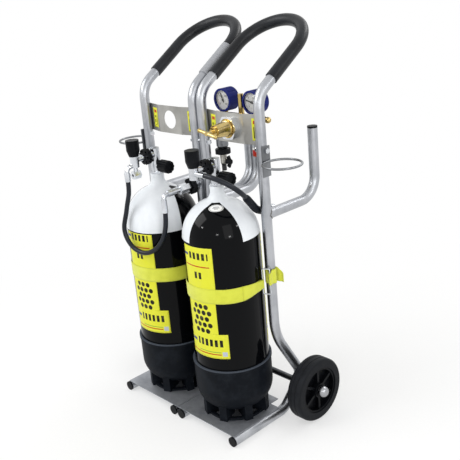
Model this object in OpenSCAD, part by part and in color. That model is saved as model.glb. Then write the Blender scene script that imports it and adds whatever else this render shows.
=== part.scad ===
// Twin gas cylinder trolley: two bent-tube trolleys joined side by side, carrying two cylinders, a
// regulator and two hoses. Millimetres, +Z up, front towards -Y.

/* [Frame] */
// Outside diameter of the frame tube
tube_d = 27; // [25:0.5:29]
// Wall of the frame tube
tube_wall = 2; // [1.5:0.1:3]
// Distance between the leg centres of one trolley
leg_spacing = 208; // [206:1:214]
// Gap between the two middle legs
leg_gap = 6; // [5.6:0.2:8]
// Length of the toe runners in front of the legs
toe_length = 183; // [180:1:200]
// Height at which the leg becomes upright
leg_base_z = 249; // [240:1:260]
// Height of the corner between leg and handle
handle_corner_z = 888; // [876:1:900]
// Slope of the handle above level, in degrees
handle_slope = 33.5; // [30:0.5:40]
// Straight length of the handle before its loop
handle_reach = 173; // [160:1:185]
// Thickness of the toe plates
plate_t = 2; // [1.5:0.5:3]
// Wall of the rubber grip
grip_wall = 2.5; // [2:0.1:2.7]

/* [Panels, hooks and rings] */
// Thickness of the panel sheet
panel_t = 2; // [1.5:0.5:3]
// Height of the panels
panel_h = 76; // [72:1:84]
// Radius of the round panel hole
panel_hole_r = 25; // [24:0.5:27]
// Height of the level part of the hook arms
hook_z = 588; // [580:1:600]
// Distance of the upright hook ends behind the legs
hook_reach = 191.5; // [170:0.5:200]
// Height of the hook ends
hook_top_z = 772; // [740:1:790]
// Mean radius of the ring holders
ring_r = 48; // [44:1:52]
// Radius of the ring bar
ring_bar_r = 3; // [2.5:0.5:4]

/* [Running gear] */
// Radius of the wheels
wheel_r = 88; // [85:0.5:92]
// Width of the wheels
wheel_w = 45; // [40:1:50]
// Distance from the axle lugs to the wheels
wheel_gap = 36; // [30:1:45]
// Diameter of the axle
axle_d = 17; // [14:0.5:18]

/* [Cylinders] */
// Outside radius of the gas cylinders
cyl_r = 101.5; // [98:0.5:103]
// Wall of the gas cylinders
cyl_wall = 5; // [4:0.5:7]
// Height of the start of the cylinder shoulder
shoulder_z = 535; // [525:1:540]
// Height of the cylinder neck above the dome
neck_rise = 31.5; // [28:0.5:36]
// Radius of the cylinder neck
neck_r = 18.5; // [17:0.5:20]
// Height of the boot's rim
boot_top_z = 190; // [170:1:210]
// Lower edge of the straps
strap_z = 384; // [370:1:395]
// Width of the strap webbing
strap_w = 40; // [30:1:45]

/* [Valves and regulator] */
// Height of the valve outlet above the neck
outlet_rise = 52; // [48:1:58]
// Height of the valve handwheel above the neck
knob_rise = 22; // [20:1:25]
// Radius of the valve handwheels
knob_r = 17.5; // [15:0.5:19]
// Radius of the connector handwheels
din_wheel_r = 22; // [19:0.5:24]
// Radius of the gauge boots
gauge_r = 30; // [27:0.5:31]
// Distance of each gauge from the regulator's middle
gauge_offset = 52; // [48:1:54]
// Length of the tee bar
tee_length = 58; // [50:1:70]

/* [Hidden] */
$fn = 48;

// Fits: a running fit on a radius, a close seat and a gap between turning faces
run_fit = 0.06;
seat_fit = 0.2;
face_gap = 0.4;

// Length by which a cutter passes a face, and by which two forms of one solid are sunk into each other
past = 1;
sink = 1;

// Frame tube and the places of the legs, with X = 0 between the two trolleys
tube_r = tube_d / 2;
bore_r = tube_r - tube_wall;
inner_x = tube_r + leg_gap / 2;
outer_x = inner_x + leg_spacing;
mid_x = inner_x + leg_spacing / 2;

// Side view of a hoop as [y, z] corners, with the legs in the plane y = 0, and its bend radii
toe_corner_y = 15;
crook = [95, 90];
toe_bend = 45;
crook_bend = 45;
leg_bend = 160;
handle_bend = 60;
toe_corner = [toe_corner_y, tube_r];
leg_foot = [0, leg_base_z];
handle_corner = [0, handle_corner_z];
handle_way = [cos(handle_slope), sin(handle_slope)];
loop_centre = handle_corner + handle_reach * handle_way;
side_path = [[-toe_length, tube_r], toe_corner, crook, leg_foot, handle_corner, loop_centre];
side_bends = [0, toe_bend, crook_bend, leg_bend, handle_bend, 0];

// Bends are drawn a hair slimmer than the straights, which run a little way into them
bend_slim = 0.1;
bend_lap = 1;

// Grip sleeve on the handle, measured along the handle from its corner
grip_start = 60;
grip_r = tube_r + grip_wall;

// Tube plugs
plug_cap = 5;
plug_depth = 14;

// The whole part is moved along Y so that its bounding box is centred
front_reach = toe_length + plug_cap;
rear_reach = loop_centre.x + leg_spacing / 2 * handle_way.x + grip_r;
frame_shift = (front_reach - rear_reach) / 2;

// Toe plate: its edges past the tube centres, and the tongue that reaches back between the crooks
plate_top = tube_d + plate_t;
plate_overhang = 3.5;
plate_seam = 0.75;
plate_back_y = -8;
tongue_back_y = 24;
tongue_inset = 30;

// Panels: a flat middle and two wings that run back to the legs
panel_z = 764;
panel_flat = 46.5;
wing_back = 12;
panel_mid_z = panel_z + panel_h / 2;

// Hook arms
hook_bend = 58;

// Ring holders and frame bolts
ring_z = 728;
ring_plate_t = 2;
ring_plate_y = [-16, 12];
ring_plate_z = [690, 767];
ring_weld = 0.8;
ring_x = outer_x + tube_r + ring_plate_t + ring_bar_r + ring_r - ring_weld;
bolt_r = 4;
bolt_head_r = 7.2;
bolt_head_h = 5;
bolt_spacer_wall = 4;
upper_bolt_z = 755;
lower_bolt_z = 340;

// Axle: it lies in the crook of the hoops, at the height of the wheel centres
axle_r = axle_d / 2;
axle_seat = 0.3;
lug_t = 4;
lug_r = 15;
crook_centre = bend_centre(toe_corner, crook, leg_foot, crook_bend);
axle_offset = crook_bend - tube_r - axle_r - axle_seat;
axle_z = wheel_r;
axle_y = crook_centre.x + sqrt(axle_offset * axle_offset - pow(axle_z - crook_centre.y, 2));
lug_out = outer_x + tube_r + lug_t;
wheel_in = lug_out + wheel_gap;
wheel_out = wheel_in + wheel_w;
washer_t = 1.5;
washer_r = 14;
spacer_wall = 3;
nut_r = 16;
nut_h = 6;

// Wheel
tyre_depth = 24;
tyre_corner = 9;
groove_r = 1.6;
rim_r = wheel_r - tyre_depth;
rim_wall = 6;
hub_r = 20;
bush_wall = 3;
web_t = 8;
spokes = 6;
spoke_t = 7;
rim_side = 3;

// Cylinder, boot and strap; the back of each cylinder stays at one place between its legs
cyl_back_y = 35.5;
cyl_y = cyl_back_y - cyl_r;
cyl_corner = 60;
boot_lift = 24;
cyl_bottom = plate_top + boot_lift;
neck_z = shoulder_z + cyl_r + neck_rise;
neck_bore_r = 12;
neck_fillet = 25;
boot_wall = 4;
boot_fins = 8;
fin_t = 22;
fin_in = 40;
fin_r = 92;
fin_steps = 6;
foot_ring_r = 84;
foot_ring_w = 10;
foot_ring_h = 6;
boot_lip = 2;
boot_lip_h = 8;
strap_t = 2;
strap_half_angle = 110;
strap_in = cyl_r + seat_fit;
strap_out = strap_in + strap_t;
wire_r = 1.8;
wire_bend = 4;
eye_r = 5;
eye_angle = strap_half_angle + 1;
band_eye = [mid_x, cyl_y] + (strap_in + strap_t / 4 + eye_r) * [sin(eye_angle), -cos(eye_angle)];
join_angle = strap_half_angle - 2;
strip_in = 0.4;
strip_half = 0.6;
wrap_in = tube_r + seat_fit;
wrap_t = 1.4;
wrap_out = wrap_in + wrap_t;
wrap_lift = 20;
wrap_eye = [14, -18];
buckle_over = 5;
tail_angle = 40;
tail_l = 18;

// Valve, and the connector in front of it, as distances from the cylinder axis
valve_r = 13.5;
outlet_z = neck_z + outlet_rise;
valve_cap = 18;
valve_top = outlet_z + valve_cap;
valve_thread = 28;
valve_collar = 3;
valve_collar_h = 6;
gland_r = 9;
outlet_reach = 24;
outlet_r = 11;
valve_knob_z = neck_z + knob_rise;
knob_start = 23;
knob_length = 34;
spindle_r = 4;
stem_r = 9;
wheel_t = 12;
block_reach = 70;
block_r = 12;
block_down = 20;
block_over = 0.6;
block_up = stem_r + block_over;
shutoff_h = 44;
shutoff_r = [13, 18];
shutoff_taper = 16;
shutoff_cap = 8;
shutoff_grooves = 10;
groove_w = 2.4;
groove_in = 0.5;
ferrule_r = 8;
hose_r = 6.5;
elbow_bend = 15;
elbow_neck = 2;
elbow_drop = 15;
left_ferrule_l = 23;
right_ferrule_end = 40;
right_ferrule_drop = 5;
bleed_port_r = 12;
bleed_port_l = 22;
bleed_drop = 41;
bleed_bore_r = 4;
bleed_bore_h = 12;
bleed_neck_r = 6;

// Parked connector on the middle leg, and the clip for the right hose on the right hook arm
park_z = 637;
park_stud_y = -30;
park_front_y = -120;
park_bend = 13;
park_drop = 35;
park_nut_r = 14;
park_nut_l = 33;
park_nut_gap = 3;
clip_y = 44;
clip_w = 8;
clip_wall = 2;
hose_end_x = 196;
hose_end_y = [36, 58];

// Regulator behind the right panel; its inlet hangs from a bar that also carries the gauges
bar_y = 34;
bar_rise = 20;
bar_z = panel_mid_z + bar_rise;
bar_r = 10;
bar_right = 85;
bar_left = 12;
dome_neck_r = 7;
dome_neck_l = 14;
dome_r = 8;
gauge_neck_r = 6;
gauge_neck_back = 2;
relief_r = 7.5;
relief_back = 8;
relief_h = 58;
spigot_r = panel_hole_r - seat_fit;
spigot_front = -12;
flange_over = 4;
flange_r = panel_hole_r + flange_over;
flange_t = 7;
body_r = 24;
body_back = 54;
nut_back = -panel_t / 2;
ring_nut_front = -14;
ring_nut_over = 8;
ring_nut_r = panel_hole_r + ring_nut_over;
ring_nut_corner = 1.5;
bonnet_r = [21, 16];
bonnet_front = -62;
bonnet_rim = 1.5;
bonnet_rim_h = 4;
bonnet_nose_r = 12;
bonnet_nose_h = 6;
screw_r = 5;
screw_back = -44;
tee_y = -80;
tee_r = 4.6;
tee_end_r = 5.6;
tee_angle = 11;
gauge_lift = 1;
gauge_z = bar_z + bar_r + gauge_lift + gauge_r;
gauge_front = 25;
gauge_depth = 35;
gauge_wall = 5;
dial_r = gauge_r - gauge_wall;
gauge_ribs = 12;
rib_w = 3;
rib_depth = 0.8;
rib_back = 4;
rib_front = 6;
dial_y = 30;
dial_t = 1.5;
lens_t = 1.5;
pointer_y = 27.8;
pointer_t = 1.2;
pivot_r = 0.9;
pointer_w = 2;
pointer_tail = 7;
pointer_short = 6;
pointer_hub_r = 3;
high_reading = 20;
low_reading = 75;
inlet_x = 46;
boss_r = 9;
boss_l = 64;
bell_top = bar_z - boss_l;
bell_h = 26;
bell_r = 16;
bell_lip = 8;
bell_lip_in = 5;
inlet_wheel_r = 20.5;
inlet_wheel_h = 13;
inlet_stem_r = 7;
bleed_body_h = 32;
bleed_body_r = 9;
dust_plug_h = 14;
dust_plug_r = 6.5;
bleed_taper = 8;
bleed_top = bell_top - bell_h - 2 * face_gap - inlet_wheel_h;
wing_drop = 20;
wing_boss_r = 6;
wing_boss_l = 3;
wing_hub_r = 7;
wing_hub_h = 15;
wing_reach = 11;
wing_t = 5;
wing_h = 10;
wing_base = 6;
wing_tilt = 25;
wing_bore_h = 12;

// Hose routes, from fitting to fitting
left_hose_top = [
    -mid_x,
    cyl_y - block_reach - block_r - elbow_neck - elbow_bend,
    outlet_z - elbow_drop - elbow_bend - left_ferrule_l
];
left_hose_foot = [-inner_x, park_front_y - park_bend, park_z - park_drop - park_bend];
left_route = [
    left_hose_top, [-123, -166, 635], [-131, -170, 604], [-137, -174, 577], [-144, -181, 540],
    [-138, -182, 510], [-117, -180, 486], [-86, -175, 475], [-56, -167, 480], [-33, -156, 498],
    [-20, -144, 526], [-17, -136, 557], left_hose_foot
];
left_route_r = [for (p = left_route) hose_r];
right_hose_start = [mid_x + right_ferrule_end, cyl_y - block_reach, outlet_z - right_ferrule_drop];
right_hose_stop = [hose_end_x, hose_end_y[0], hook_z];
sleeve_r = 10;
right_route = [
    right_hose_start, [186, -132.5, 711.5], [208, -122, 702], [222.5, -106, 688], [228.5, -87.5, 670.5],
    [224.5, -68.5, 653.5], [217, -50, 636.5], [210, -31.5, 619.5], [202.5, -12.5, 603],
    [197.5, 10.5, 592], right_hose_stop
];
sleeve_from = 5;
right_route_r = [for (i = [0 : len(right_route) - 1]) i < sleeve_from ? hose_r : sleeve_r];

// Item of a list that is read round and round
function near(list, i) = list[(i + len(list)) % len(list)];

// Turn, trim and centre of a rounded corner b between a and c
function unit(v) = v / norm(v);
function turn_at(a, b, c) =
    let (u = b - a, v = c - b) atan2(u.x * v.y - u.y * v.x, u * v);
function trim_at(a, b, c, r) = r * tan(abs(turn_at(a, b, c)) / 2);
function bend_centre(a, b, c, r) =
    let (u = unit(b - a), side = sign(turn_at(a, b, c)))
    b - u * trim_at(a, b, c, r) + side * r * [-u.y, u.x];

// Points of a smooth curve through a list of points, with a number of steps in each span
function at(list, i) =
    i < 0 ? 2 * list[0] - list[1]
    : i >= len(list) ? 2 * list[len(list) - 1] - list[len(list) - 2]
    : list[i];
function blend(p, q, r, s, t) =
    0.5 * (2 * q + (r - p) * t + (2 * p - 5 * q + 4 * r - s) * t * t + (3 * q - p - 3 * r + s) * t * t * t);
function smooth(list, steps) = [
    for (i = [0 : len(list) - 2], k = [0 : steps - 1])
        blend(at(list, i - 1), list[i], list[i + 1], at(list, i + 2), k / steps),
    list[len(list) - 1]
];

// Tube swept along a smooth curve as one solid. Its end faces are square to the two end ways, and its
// cross-section is turned from a reference direction.
module swept(route, radii, ends, reference) {
    sides = 10;
    steps = 3;
    path = smooth(route, steps);
    sizes = smooth(radii, steps);
    last = len(path) - 1;
    rings = [
        for (i = [0 : last])
            let (way = i == 0 ? ends[0] : i == last ? ends[1] : unit(path[i + 1] - path[i - 1]))
            let (across = unit(cross(way, reference)), over = cross(way, across))
            for (k = [0 : sides - 1])
                path[i] + sizes[i] * (cos(360 * k / sides) * across + sin(360 * k / sides) * over)
    ];
    sheet = [
        for (i = [0 : last - 1], k = [0 : sides - 1])
            let (a = i * sides + k, b = i * sides + (k + 1) % sides)
            each [[a, a + sides, b], [b, a + sides, b + sides]]
    ];
    start = [for (k = [1 : sides - 2]) [0, k, k + 1]];
    stop = [for (k = [1 : sides - 2]) [last * sides, last * sides + k + 1, last * sides + k]];
    polyhedron(rings, concat(sheet, start, stop));
}

// Common placement and small helpers
module placed() {
    translate([0, frame_shift, 0]) children();
}

module along_x() {
    rotate([0, 90, 0]) children();
}

module along_front() {
    rotate([90, 0, 0]) children();
}

module ring_2d(r, hole) {
    difference() {
        circle(r);
        if (hole > 0) circle(hole);
    }
}

module slim_ring_2d(r, hole) {
    ring_2d(r - bend_slim, hole > 0 ? hole + bend_slim : 0);
}

module pipe(r, hole, h) {
    linear_extrude(h) ring_2d(r, hole);
}

// Flat run of bent tube through corners in the XY plane, open or closed, with a bend radius at each corner
module bent_tube(points, bends, r, hole, end_lap = 0, closed = false) {
    count = len(points);
    last = closed ? count - 1 : count - 2;
    trims = [
        for (i = [0 : count - 1])
            bends[i] == 0 ? 0 : trim_at(near(points, i - 1), points[i], near(points, i + 1), bends[i])
    ];
    for (i = [0 : last]) {
        way = unit(near(points, i + 1) - points[i]);
        lap_0 = bends[i] == 0 ? 0 : bend_lap;
        lap_1 = near(bends, i + 1) == 0 ? end_lap : bend_lap;
        start = points[i] + way * (trims[i] - lap_0);
        run = norm(near(points, i + 1) - points[i]) - trims[i] - near(trims, i + 1) + lap_0 + lap_1;
        translate([start.x, start.y, 0]) rotate([0, 0, atan2(way.y, way.x)]) along_x() pipe(r, hole, run);
    }
    for (i = [0 : count - 1]) if (bends[i] > 0) {
        before = near(points, i - 1);
        turn = turn_at(before, points[i], near(points, i + 1));
        centre = bend_centre(before, points[i], near(points, i + 1), bends[i]);
        spoke = points[i] - unit(points[i] - before) * trims[i] - centre;
        translate([centre.x, centre.y, 0])
            rotate([0, 0, atan2(spoke.y, spoke.x) + min(turn, 0)])
                rotate_extrude(angle = abs(turn)) translate([bends[i], 0]) slim_ring_2d(r, hole);
    }
}

// Carries a flat run in XY into the side plane, so that its X and Y become Y and Z
module side_plane(x) {
    translate([x, 0, 0]) rotate([90, 0, 90]) children();
}

module handle_plane(cx) {
    translate([cx, loop_centre.x, loop_centre.y]) rotate([handle_slope, 0, 0]) children();
}

module leg_space(x, r) {
    translate([x, 0, leg_base_z]) cylinder(r = r, h = handle_corner_z - leg_base_z);
}

// Frame
module bolt_hole(x, z) {
    translate([x - tube_r - past, 0, z]) along_x() cylinder(r = bolt_r + seat_fit, h = tube_d + 2 * past);
}

module hoop(side) {
    placed() color("silver") difference() {
        union() {
            for (x = [inner_x, outer_x])
                side_plane(side * x) bent_tube(side_path, side_bends, tube_r, bore_r, bend_lap);
            handle_plane(side * mid_x)
                rotate_extrude(angle = 180) translate([leg_spacing / 2, 0]) slim_ring_2d(tube_r, bore_r);
        }
        bolt_hole(side * inner_x, upper_bolt_z);
        bolt_hole(side * inner_x, lower_bolt_z);
        bolt_hole(side * outer_x, upper_bolt_z);
    }
}

module toe_plate(side) {
    front = -toe_length;
    inside = plate_seam;
    outside = outer_x + plate_overhang;
    placed() color("gainsboro") translate([0, 0, tube_d]) linear_extrude(plate_t)
        scale_x(side) polygon([
            [inside, front],
            [outside, front],
            [outside, plate_back_y],
            [outer_x - tongue_inset, plate_back_y],
            [outer_x - tongue_inset, tongue_back_y],
            [inner_x + tongue_inset, tongue_back_y],
            [inner_x + tongue_inset, plate_back_y],
            [inside, plate_back_y]
        ]);
}

module scale_x(side) {
    if (side > 0) children();
    else mirror([1, 0, 0]) children();
}

module tube_plug() {
    cylinder(r = tube_r, h = plug_cap);
    translate([0, 0, -plug_depth]) cylinder(r = bore_r - seat_fit, h = plug_depth);
}

module tube_end_plugs() {
    placed() color("dimgray") for (side = [-1, 1], x = [inner_x, outer_x]) {
        translate([side * x, -toe_length, tube_r]) along_front() tube_plug();
        translate([side * x, hook_reach, hook_top_z]) tube_plug();
    }
}

module hook_arms(side) {
    path = [[0, hook_z], [hook_reach, hook_z], [hook_reach, hook_top_z]];
    placed() color("silver") for (x = [inner_x, outer_x]) difference() {
        side_plane(side * x) bent_tube(path, [0, hook_bend, 0], tube_r, bore_r);
        leg_space(side * x, tube_r);
    }
}

module panel(side) {
    half = panel_t / 2;
    end = leg_spacing / 2 - tube_r / 2;
    bend = panel_flat;
    placed() color("lightgray") difference() {
        translate([side * mid_x, 0, panel_z]) linear_extrude(panel_h) polygon([
            [-bend, -half], [bend, -half], [end, wing_back - half], [end, wing_back + half], [bend, half],
            [-bend, half], [-end, wing_back + half], [-end, wing_back - half]
        ]);
        for (x = [inner_x, outer_x]) leg_space(side * x, tube_r);
        translate([side * mid_x, panel_flat, panel_mid_z]) along_front()
            cylinder(r = panel_hole_r, h = 2 * panel_flat);
    }
}

module ring_holder(side) {
    plate_in = outer_x + tube_r;
    depth = ring_plate_y[1] - ring_plate_y[0];
    height = ring_plate_z[1] - ring_plate_z[0];
    placed() color("silver") scale_x(side) {
        difference() {
            translate([plate_in, ring_plate_y[0], ring_plate_z[0]]) cube([ring_plate_t, depth, height]);
            bolt_hole(outer_x + tube_r, upper_bolt_z);
        }
        translate([ring_x, 0, ring_z]) rotate_extrude() translate([ring_r, 0]) circle(ring_bar_r);
    }
}

// Bolt along X from x0 to x1, with a head at one end and a nut at the other
module through_bolt(x0, x1, z) {
    translate([x0 - bolt_head_h, 0, z]) along_x() {
        cylinder(r = bolt_head_r, h = bolt_head_h, $fn = 6);
        cylinder(r = bolt_r, h = x1 - x0 + 2 * bolt_head_h);
    }
    translate([x1, 0, z]) along_x() difference() {
        cylinder(r = bolt_head_r, h = bolt_head_h, $fn = 6);
        translate([0, 0, -past]) cylinder(r = bolt_r + seat_fit, h = bolt_head_h + 2 * past);
    }
}

module frame_bolts() {
    placed() color("lightsteelblue") {
        for (z = [lower_bolt_z, upper_bolt_z]) {
            through_bolt(-inner_x - tube_r, inner_x + tube_r, z);
            translate([-leg_gap / 2, 0, z]) along_x()
                pipe(bolt_r + bolt_spacer_wall, bolt_r + seat_fit, leg_gap);
        }
        for (side = [-1, 1]) scale_x(side)
            through_bolt(outer_x - tube_r, outer_x + tube_r + ring_plate_t, upper_bolt_z);
    }
}

module grip(side) {
    straight = handle_reach - grip_start;
    grip_in = tube_r + seat_fit / 2;
    placed() color("dimgray") handle_plane(side * mid_x) {
        rotate_extrude(angle = 180) translate([leg_spacing / 2, 0]) slim_ring_2d(grip_r, grip_in);
        for (x = [-leg_spacing / 2, leg_spacing / 2])
            translate([x, bend_lap, 0]) along_front() pipe(grip_r, grip_in, straight + bend_lap);
    }
}

// Running gear
module axle() {
    reach = wheel_out + face_gap + washer_t + nut_h;
    placed() color("gray") translate([-reach, axle_y, axle_z]) along_x()
        cylinder(r = axle_r, h = 2 * reach);
}

module lug(x, t) {
    out = unit([axle_y, axle_z] - crook_centre);
    translate([x, axle_y, axle_z]) rotate([90, 0, 90]) linear_extrude(t) difference() {
        union() {
            circle(lug_r);
            rotate(atan2(out.y, out.x)) translate([0, -lug_r]) square([axle_r + tube_d, 2 * lug_r]);
        }
        circle(axle_r + seat_fit);
    }
}

module axle_lugs() {
    placed() color("silver") {
        lug(outer_x + tube_r, lug_t);
        lug(-leg_gap / 2, leg_gap);
        lug(-outer_x - tube_r - lug_t, lug_t);
    }
}

module axle_spacers() {
    length = wheel_gap - washer_t - face_gap;
    placed() color("silver") for (side = [-1, 1]) scale_x(side) translate([0, axle_y, axle_z]) {
        translate([lug_out, 0, 0]) along_x() pipe(axle_r + spacer_wall, axle_r + seat_fit, length);
        translate([lug_out + length, 0, 0]) along_x() pipe(washer_r, axle_r + seat_fit, washer_t);
        translate([wheel_out + face_gap, 0, 0]) along_x() pipe(washer_r, axle_r + seat_fit, washer_t);
    }
}

module axle_dome_nuts() {
    start = wheel_out + face_gap + washer_t;
    placed() color("lightsteelblue") for (side = [-1, 1]) scale_x(side)
        translate([start, axle_y, axle_z]) along_x() difference() {
            union() {
                cylinder(r = nut_r, h = nut_h);
                translate([0, 0, nut_h]) intersection() {
                    sphere(nut_r);
                    cylinder(r = nut_r, h = nut_r);
                }
            }
            translate([0, 0, -past]) cylinder(r = axle_r + seat_fit, h = nut_h + past);
        }
}

module on_wheel(side) {
    placed() scale_x(side) translate([wheel_in, axle_y, axle_z]) along_x() children();
}

module tyre(side) {
    flat = wheel_w - 2 * tyre_corner;
    on_wheel(side) color("dimgray") rotate_extrude() difference() {
        union() {
            translate([rim_r, 0]) square([tyre_depth - tyre_corner, wheel_w]);
            translate([rim_r, tyre_corner]) square([tyre_depth, flat]);
            for (z = [tyre_corner, wheel_w - tyre_corner])
                translate([wheel_r - tyre_corner, z]) circle(tyre_corner);
        }
        for (z = [-1, 1]) translate([wheel_r, wheel_w / 2 + z * flat / 4]) circle(groove_r);
    }
}

module rim(side) {
    spoke_run = rim_r - rim_wall - hub_r + 2 * sink;
    spoke_w = wheel_w - 4 * rim_side;
    on_wheel(side) color("darkslategray") {
        rotate_extrude() {
            translate([rim_r - rim_wall, rim_side]) square([rim_wall, wheel_w - 2 * rim_side]);
            translate([hub_r - sink, wheel_w / 2 - web_t / 2]) square([spoke_run, web_t]);
            translate([axle_r + bush_wall, 0]) square([hub_r - axle_r - bush_wall, wheel_w]);
        }
        for (k = [0 : spokes - 1]) rotate(360 * k / spokes)
            translate([hub_r - sink, -spoke_t / 2, 2 * rim_side]) cube([spoke_run, spoke_t, spoke_w]);
    }
}

module hub_bush(side) {
    on_wheel(side) color("gold") pipe(axle_r + bush_wall, axle_r + run_fit, wheel_w);
}

// Cylinders
module round_foot(r, corner, bottom, top) {
    translate([0, bottom + corner]) square([r, top - bottom - corner]);
    translate([0, bottom]) square([r - corner, corner]);
    translate([r - corner, bottom + corner]) circle(corner);
}

module upper_round(r) {
    intersection() {
        circle(r);
        square(r);
    }
}

module neck_fillet_2d() {
    centre = [neck_r + neck_fillet, sqrt(pow(cyl_r + neck_fillet, 2) - pow(neck_r + neck_fillet, 2))];
    touch = centre * cyl_r / (cyl_r + neck_fillet);
    difference() {
        polygon([[0, 0], touch, centre, [neck_r, centre.y], [0, centre.y]]);
        translate(centre) circle(neck_fillet);
    }
}

module gas_cylinder(side) {
    inner = cyl_r - cyl_wall;
    placed() color("darkslategray") translate([side * mid_x, cyl_y, 0]) rotate_extrude() difference() {
        union() {
            intersection() {
                round_foot(cyl_r, cyl_corner, cyl_bottom, shoulder_z);
                square([cyl_r, shoulder_z]);
            }
            translate([0, shoulder_z]) upper_round(cyl_r);
            translate([0, shoulder_z]) neck_fillet_2d();
            translate([0, shoulder_z]) square([neck_r, neck_z - shoulder_z]);
        }
        round_foot(inner, cyl_corner - cyl_wall, cyl_bottom + cyl_wall, shoulder_z);
        translate([0, shoulder_z]) upper_round(inner);
        translate([0, shoulder_z]) square([neck_bore_r, neck_z - shoulder_z + past]);
    }
}

// Radial fin under the boot; its top edge runs inside the boot's wall
module boot_fin() {
    arc_x = cyl_r - cyl_corner;
    arc_r = cyl_corner + boot_wall / 2;
    rise = [
        for (k = [0 : fin_steps])
            let (r = fin_r + (arc_x - fin_r) * k / fin_steps)
            [r, cyl_bottom + cyl_corner - sqrt(arc_r * arc_r - pow(r - arc_x, 2))]
    ];
    foot = [[fin_in, plate_top], [fin_r, plate_top]];
    along_front() translate([0, 0, -fin_t / 2]) linear_extrude(fin_t)
        polygon(concat(foot, rise, [[fin_in, cyl_bottom - boot_wall / 2]]));
}

module boot(side) {
    inner = cyl_r + seat_fit;
    outer = inner + boot_wall;
    placed() color("dimgray") translate([side * mid_x, cyl_y, 0]) {
        rotate_extrude() difference() {
            union() {
                round_foot(outer, cyl_corner + boot_wall, cyl_bottom - boot_wall, boot_top_z);
                translate([outer - sink, boot_top_z - boot_lip_h]) square([sink + boot_lip, boot_lip_h]);
            }
            round_foot(inner, cyl_corner, cyl_bottom, boot_top_z + past);
            translate([-outer, 0]) square([outer, boot_top_z]);
        }
        for (k = [0 : boot_fins - 1]) rotate(360 * (k + 0.5) / boot_fins) boot_fin();
        translate([0, 0, plate_top]) pipe(foot_ring_r, foot_ring_r - foot_ring_w, foot_ring_h);
    }
}

// Straps: a band round the cylinder that loops round the middle leg, with an eye for the buckle at its
// other end, and a wrap on the outer leg with an eye of its own and a loose tail
module strap_strip() {
    axis = [mid_x, cyl_y];
    leg = [inner_x, 0];
    join_way = [-sin(join_angle), -cos(join_angle)];
    from = axis + (strap_in + strap_t / 2) * join_way;
    across = unit([from.y - leg.y, leg.x - from.x]) * strip_half;
    translate([0, 0, strip_in]) linear_extrude(strap_w - 2 * strip_in) polygon([
        axis + (strap_in + strip_in) * join_way,
        axis + (strap_out - strip_in) * join_way,
        leg + across,
        leg - across
    ]);
}

module upright_hole(r) {
    translate([0, 0, -past]) cylinder(r = r, h = strap_w + 2 * past);
}

module strap_band() {
    difference() {
        union() {
            translate([mid_x, cyl_y, 0]) rotate(-90 - strap_half_angle)
                rotate_extrude(angle = 2 * strap_half_angle)
                    translate([strap_in, 0]) square([strap_t, strap_w]);
            strap_strip();
            translate([inner_x, 0, 0]) cylinder(r = wrap_out, h = strap_w);
            translate([band_eye.x, band_eye.y, strip_in]) cylinder(r = eye_r, h = strap_w - 2 * strip_in);
        }
        translate([inner_x, 0, 0]) upright_hole(wrap_in);
        translate(band_eye) upright_hole(wire_r + seat_fit);
    }
}

module strap_wrap() {
    neck_l = norm(wrap_eye) - wrap_in - wire_r - 2 * sink;
    inset_h = strap_w - 2 * strip_in;
    translate([outer_x, 0, 0]) difference() {
        union() {
            cylinder(r = wrap_out, h = strap_w);
            translate(wrap_eye) cylinder(r = eye_r, h = strap_w);
            rotate(atan2(wrap_eye.y, wrap_eye.x)) translate([wrap_in + sink / 2, -strap_t / 2, strip_in])
                cube([neck_l, strap_t, inset_h]);
            rotate(tail_angle) translate([wrap_in + sink / 2, -strap_t / 2, strip_in])
                cube([tail_l, strap_t, inset_h]);
        }
        upright_hole(wrap_in);
        translate(wrap_eye) upright_hole(wire_r + seat_fit);
    }
}

module strap(side) {
    placed() color("yellow") scale_x(side) translate([0, 0, strap_z]) {
        strap_band();
        translate([0, 0, wrap_lift]) strap_wrap();
    }
}

module buckle() {
    low = strap_z - buckle_over;
    high = strap_z + wrap_lift + strap_w + buckle_over;
    way = [outer_x, 0] + wrap_eye - band_eye;
    width = norm(way);
    corners = [[0, low], [width, low], [width, high], [0, high]];
    bends = [for (corner = corners) wire_bend];
    translate(band_eye) rotate([0, 0, atan2(way.y, way.x)]) along_front()
        bent_tube(corners, bends, wire_r, 0, closed = true);
}

module strap_buckles() {
    placed() color("lightsteelblue") for (side = [-1, 1]) scale_x(side) buckle();
}

// Valves
module on_cylinder(side) {
    placed() translate([side * mid_x, cyl_y, 0]) children();
}

module valve(side) {
    on_cylinder(side) color("lightsteelblue") {
        translate([0, 0, neck_z - valve_thread])
            cylinder(r = neck_bore_r - seat_fit, h = valve_thread + sink);
        translate([0, 0, neck_z]) cylinder(r = valve_r, h = valve_top - neck_z);
        translate([0, 0, neck_z]) cylinder(r = valve_r + valve_collar, h = valve_collar_h, $fn = 6);
        translate([0, 0, outlet_z]) along_front() cylinder(r = outlet_r, h = outlet_reach);
        translate([0, 0, valve_knob_z]) along_x() {
            cylinder(r = gland_r, h = knob_start - face_gap);
            cylinder(r = spindle_r, h = knob_start + knob_length / 2);
        }
    }
}

// Fluted handwheel standing on the XY plane, with a blind bore for its spindle and a sunk end
module fluted_knob(r, h, bore, bore_h) {
    flutes = 10;
    flute_r = 3;
    dish = 3;
    dish_r = r - 2 * flute_r;
    difference() {
        cylinder(r = r, h = h);
        for (k = [0 : flutes - 1]) rotate(360 * k / flutes)
            translate([r + flute_r / 2, 0, -past]) cylinder(r = flute_r, h = h + 2 * past);
        translate([0, 0, -past]) cylinder(r = bore, h = bore_h + past);
        translate([0, 0, h - dish]) cylinder(r = dish_r, h = dish + past);
    }
}

module valve_knob(side) {
    on_cylinder(side) color("dimgray") translate([knob_start, 0, valve_knob_z]) along_x()
        fluted_knob(knob_r, knob_length, spindle_r + run_fit, knob_length / 2 + past);
}

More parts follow.
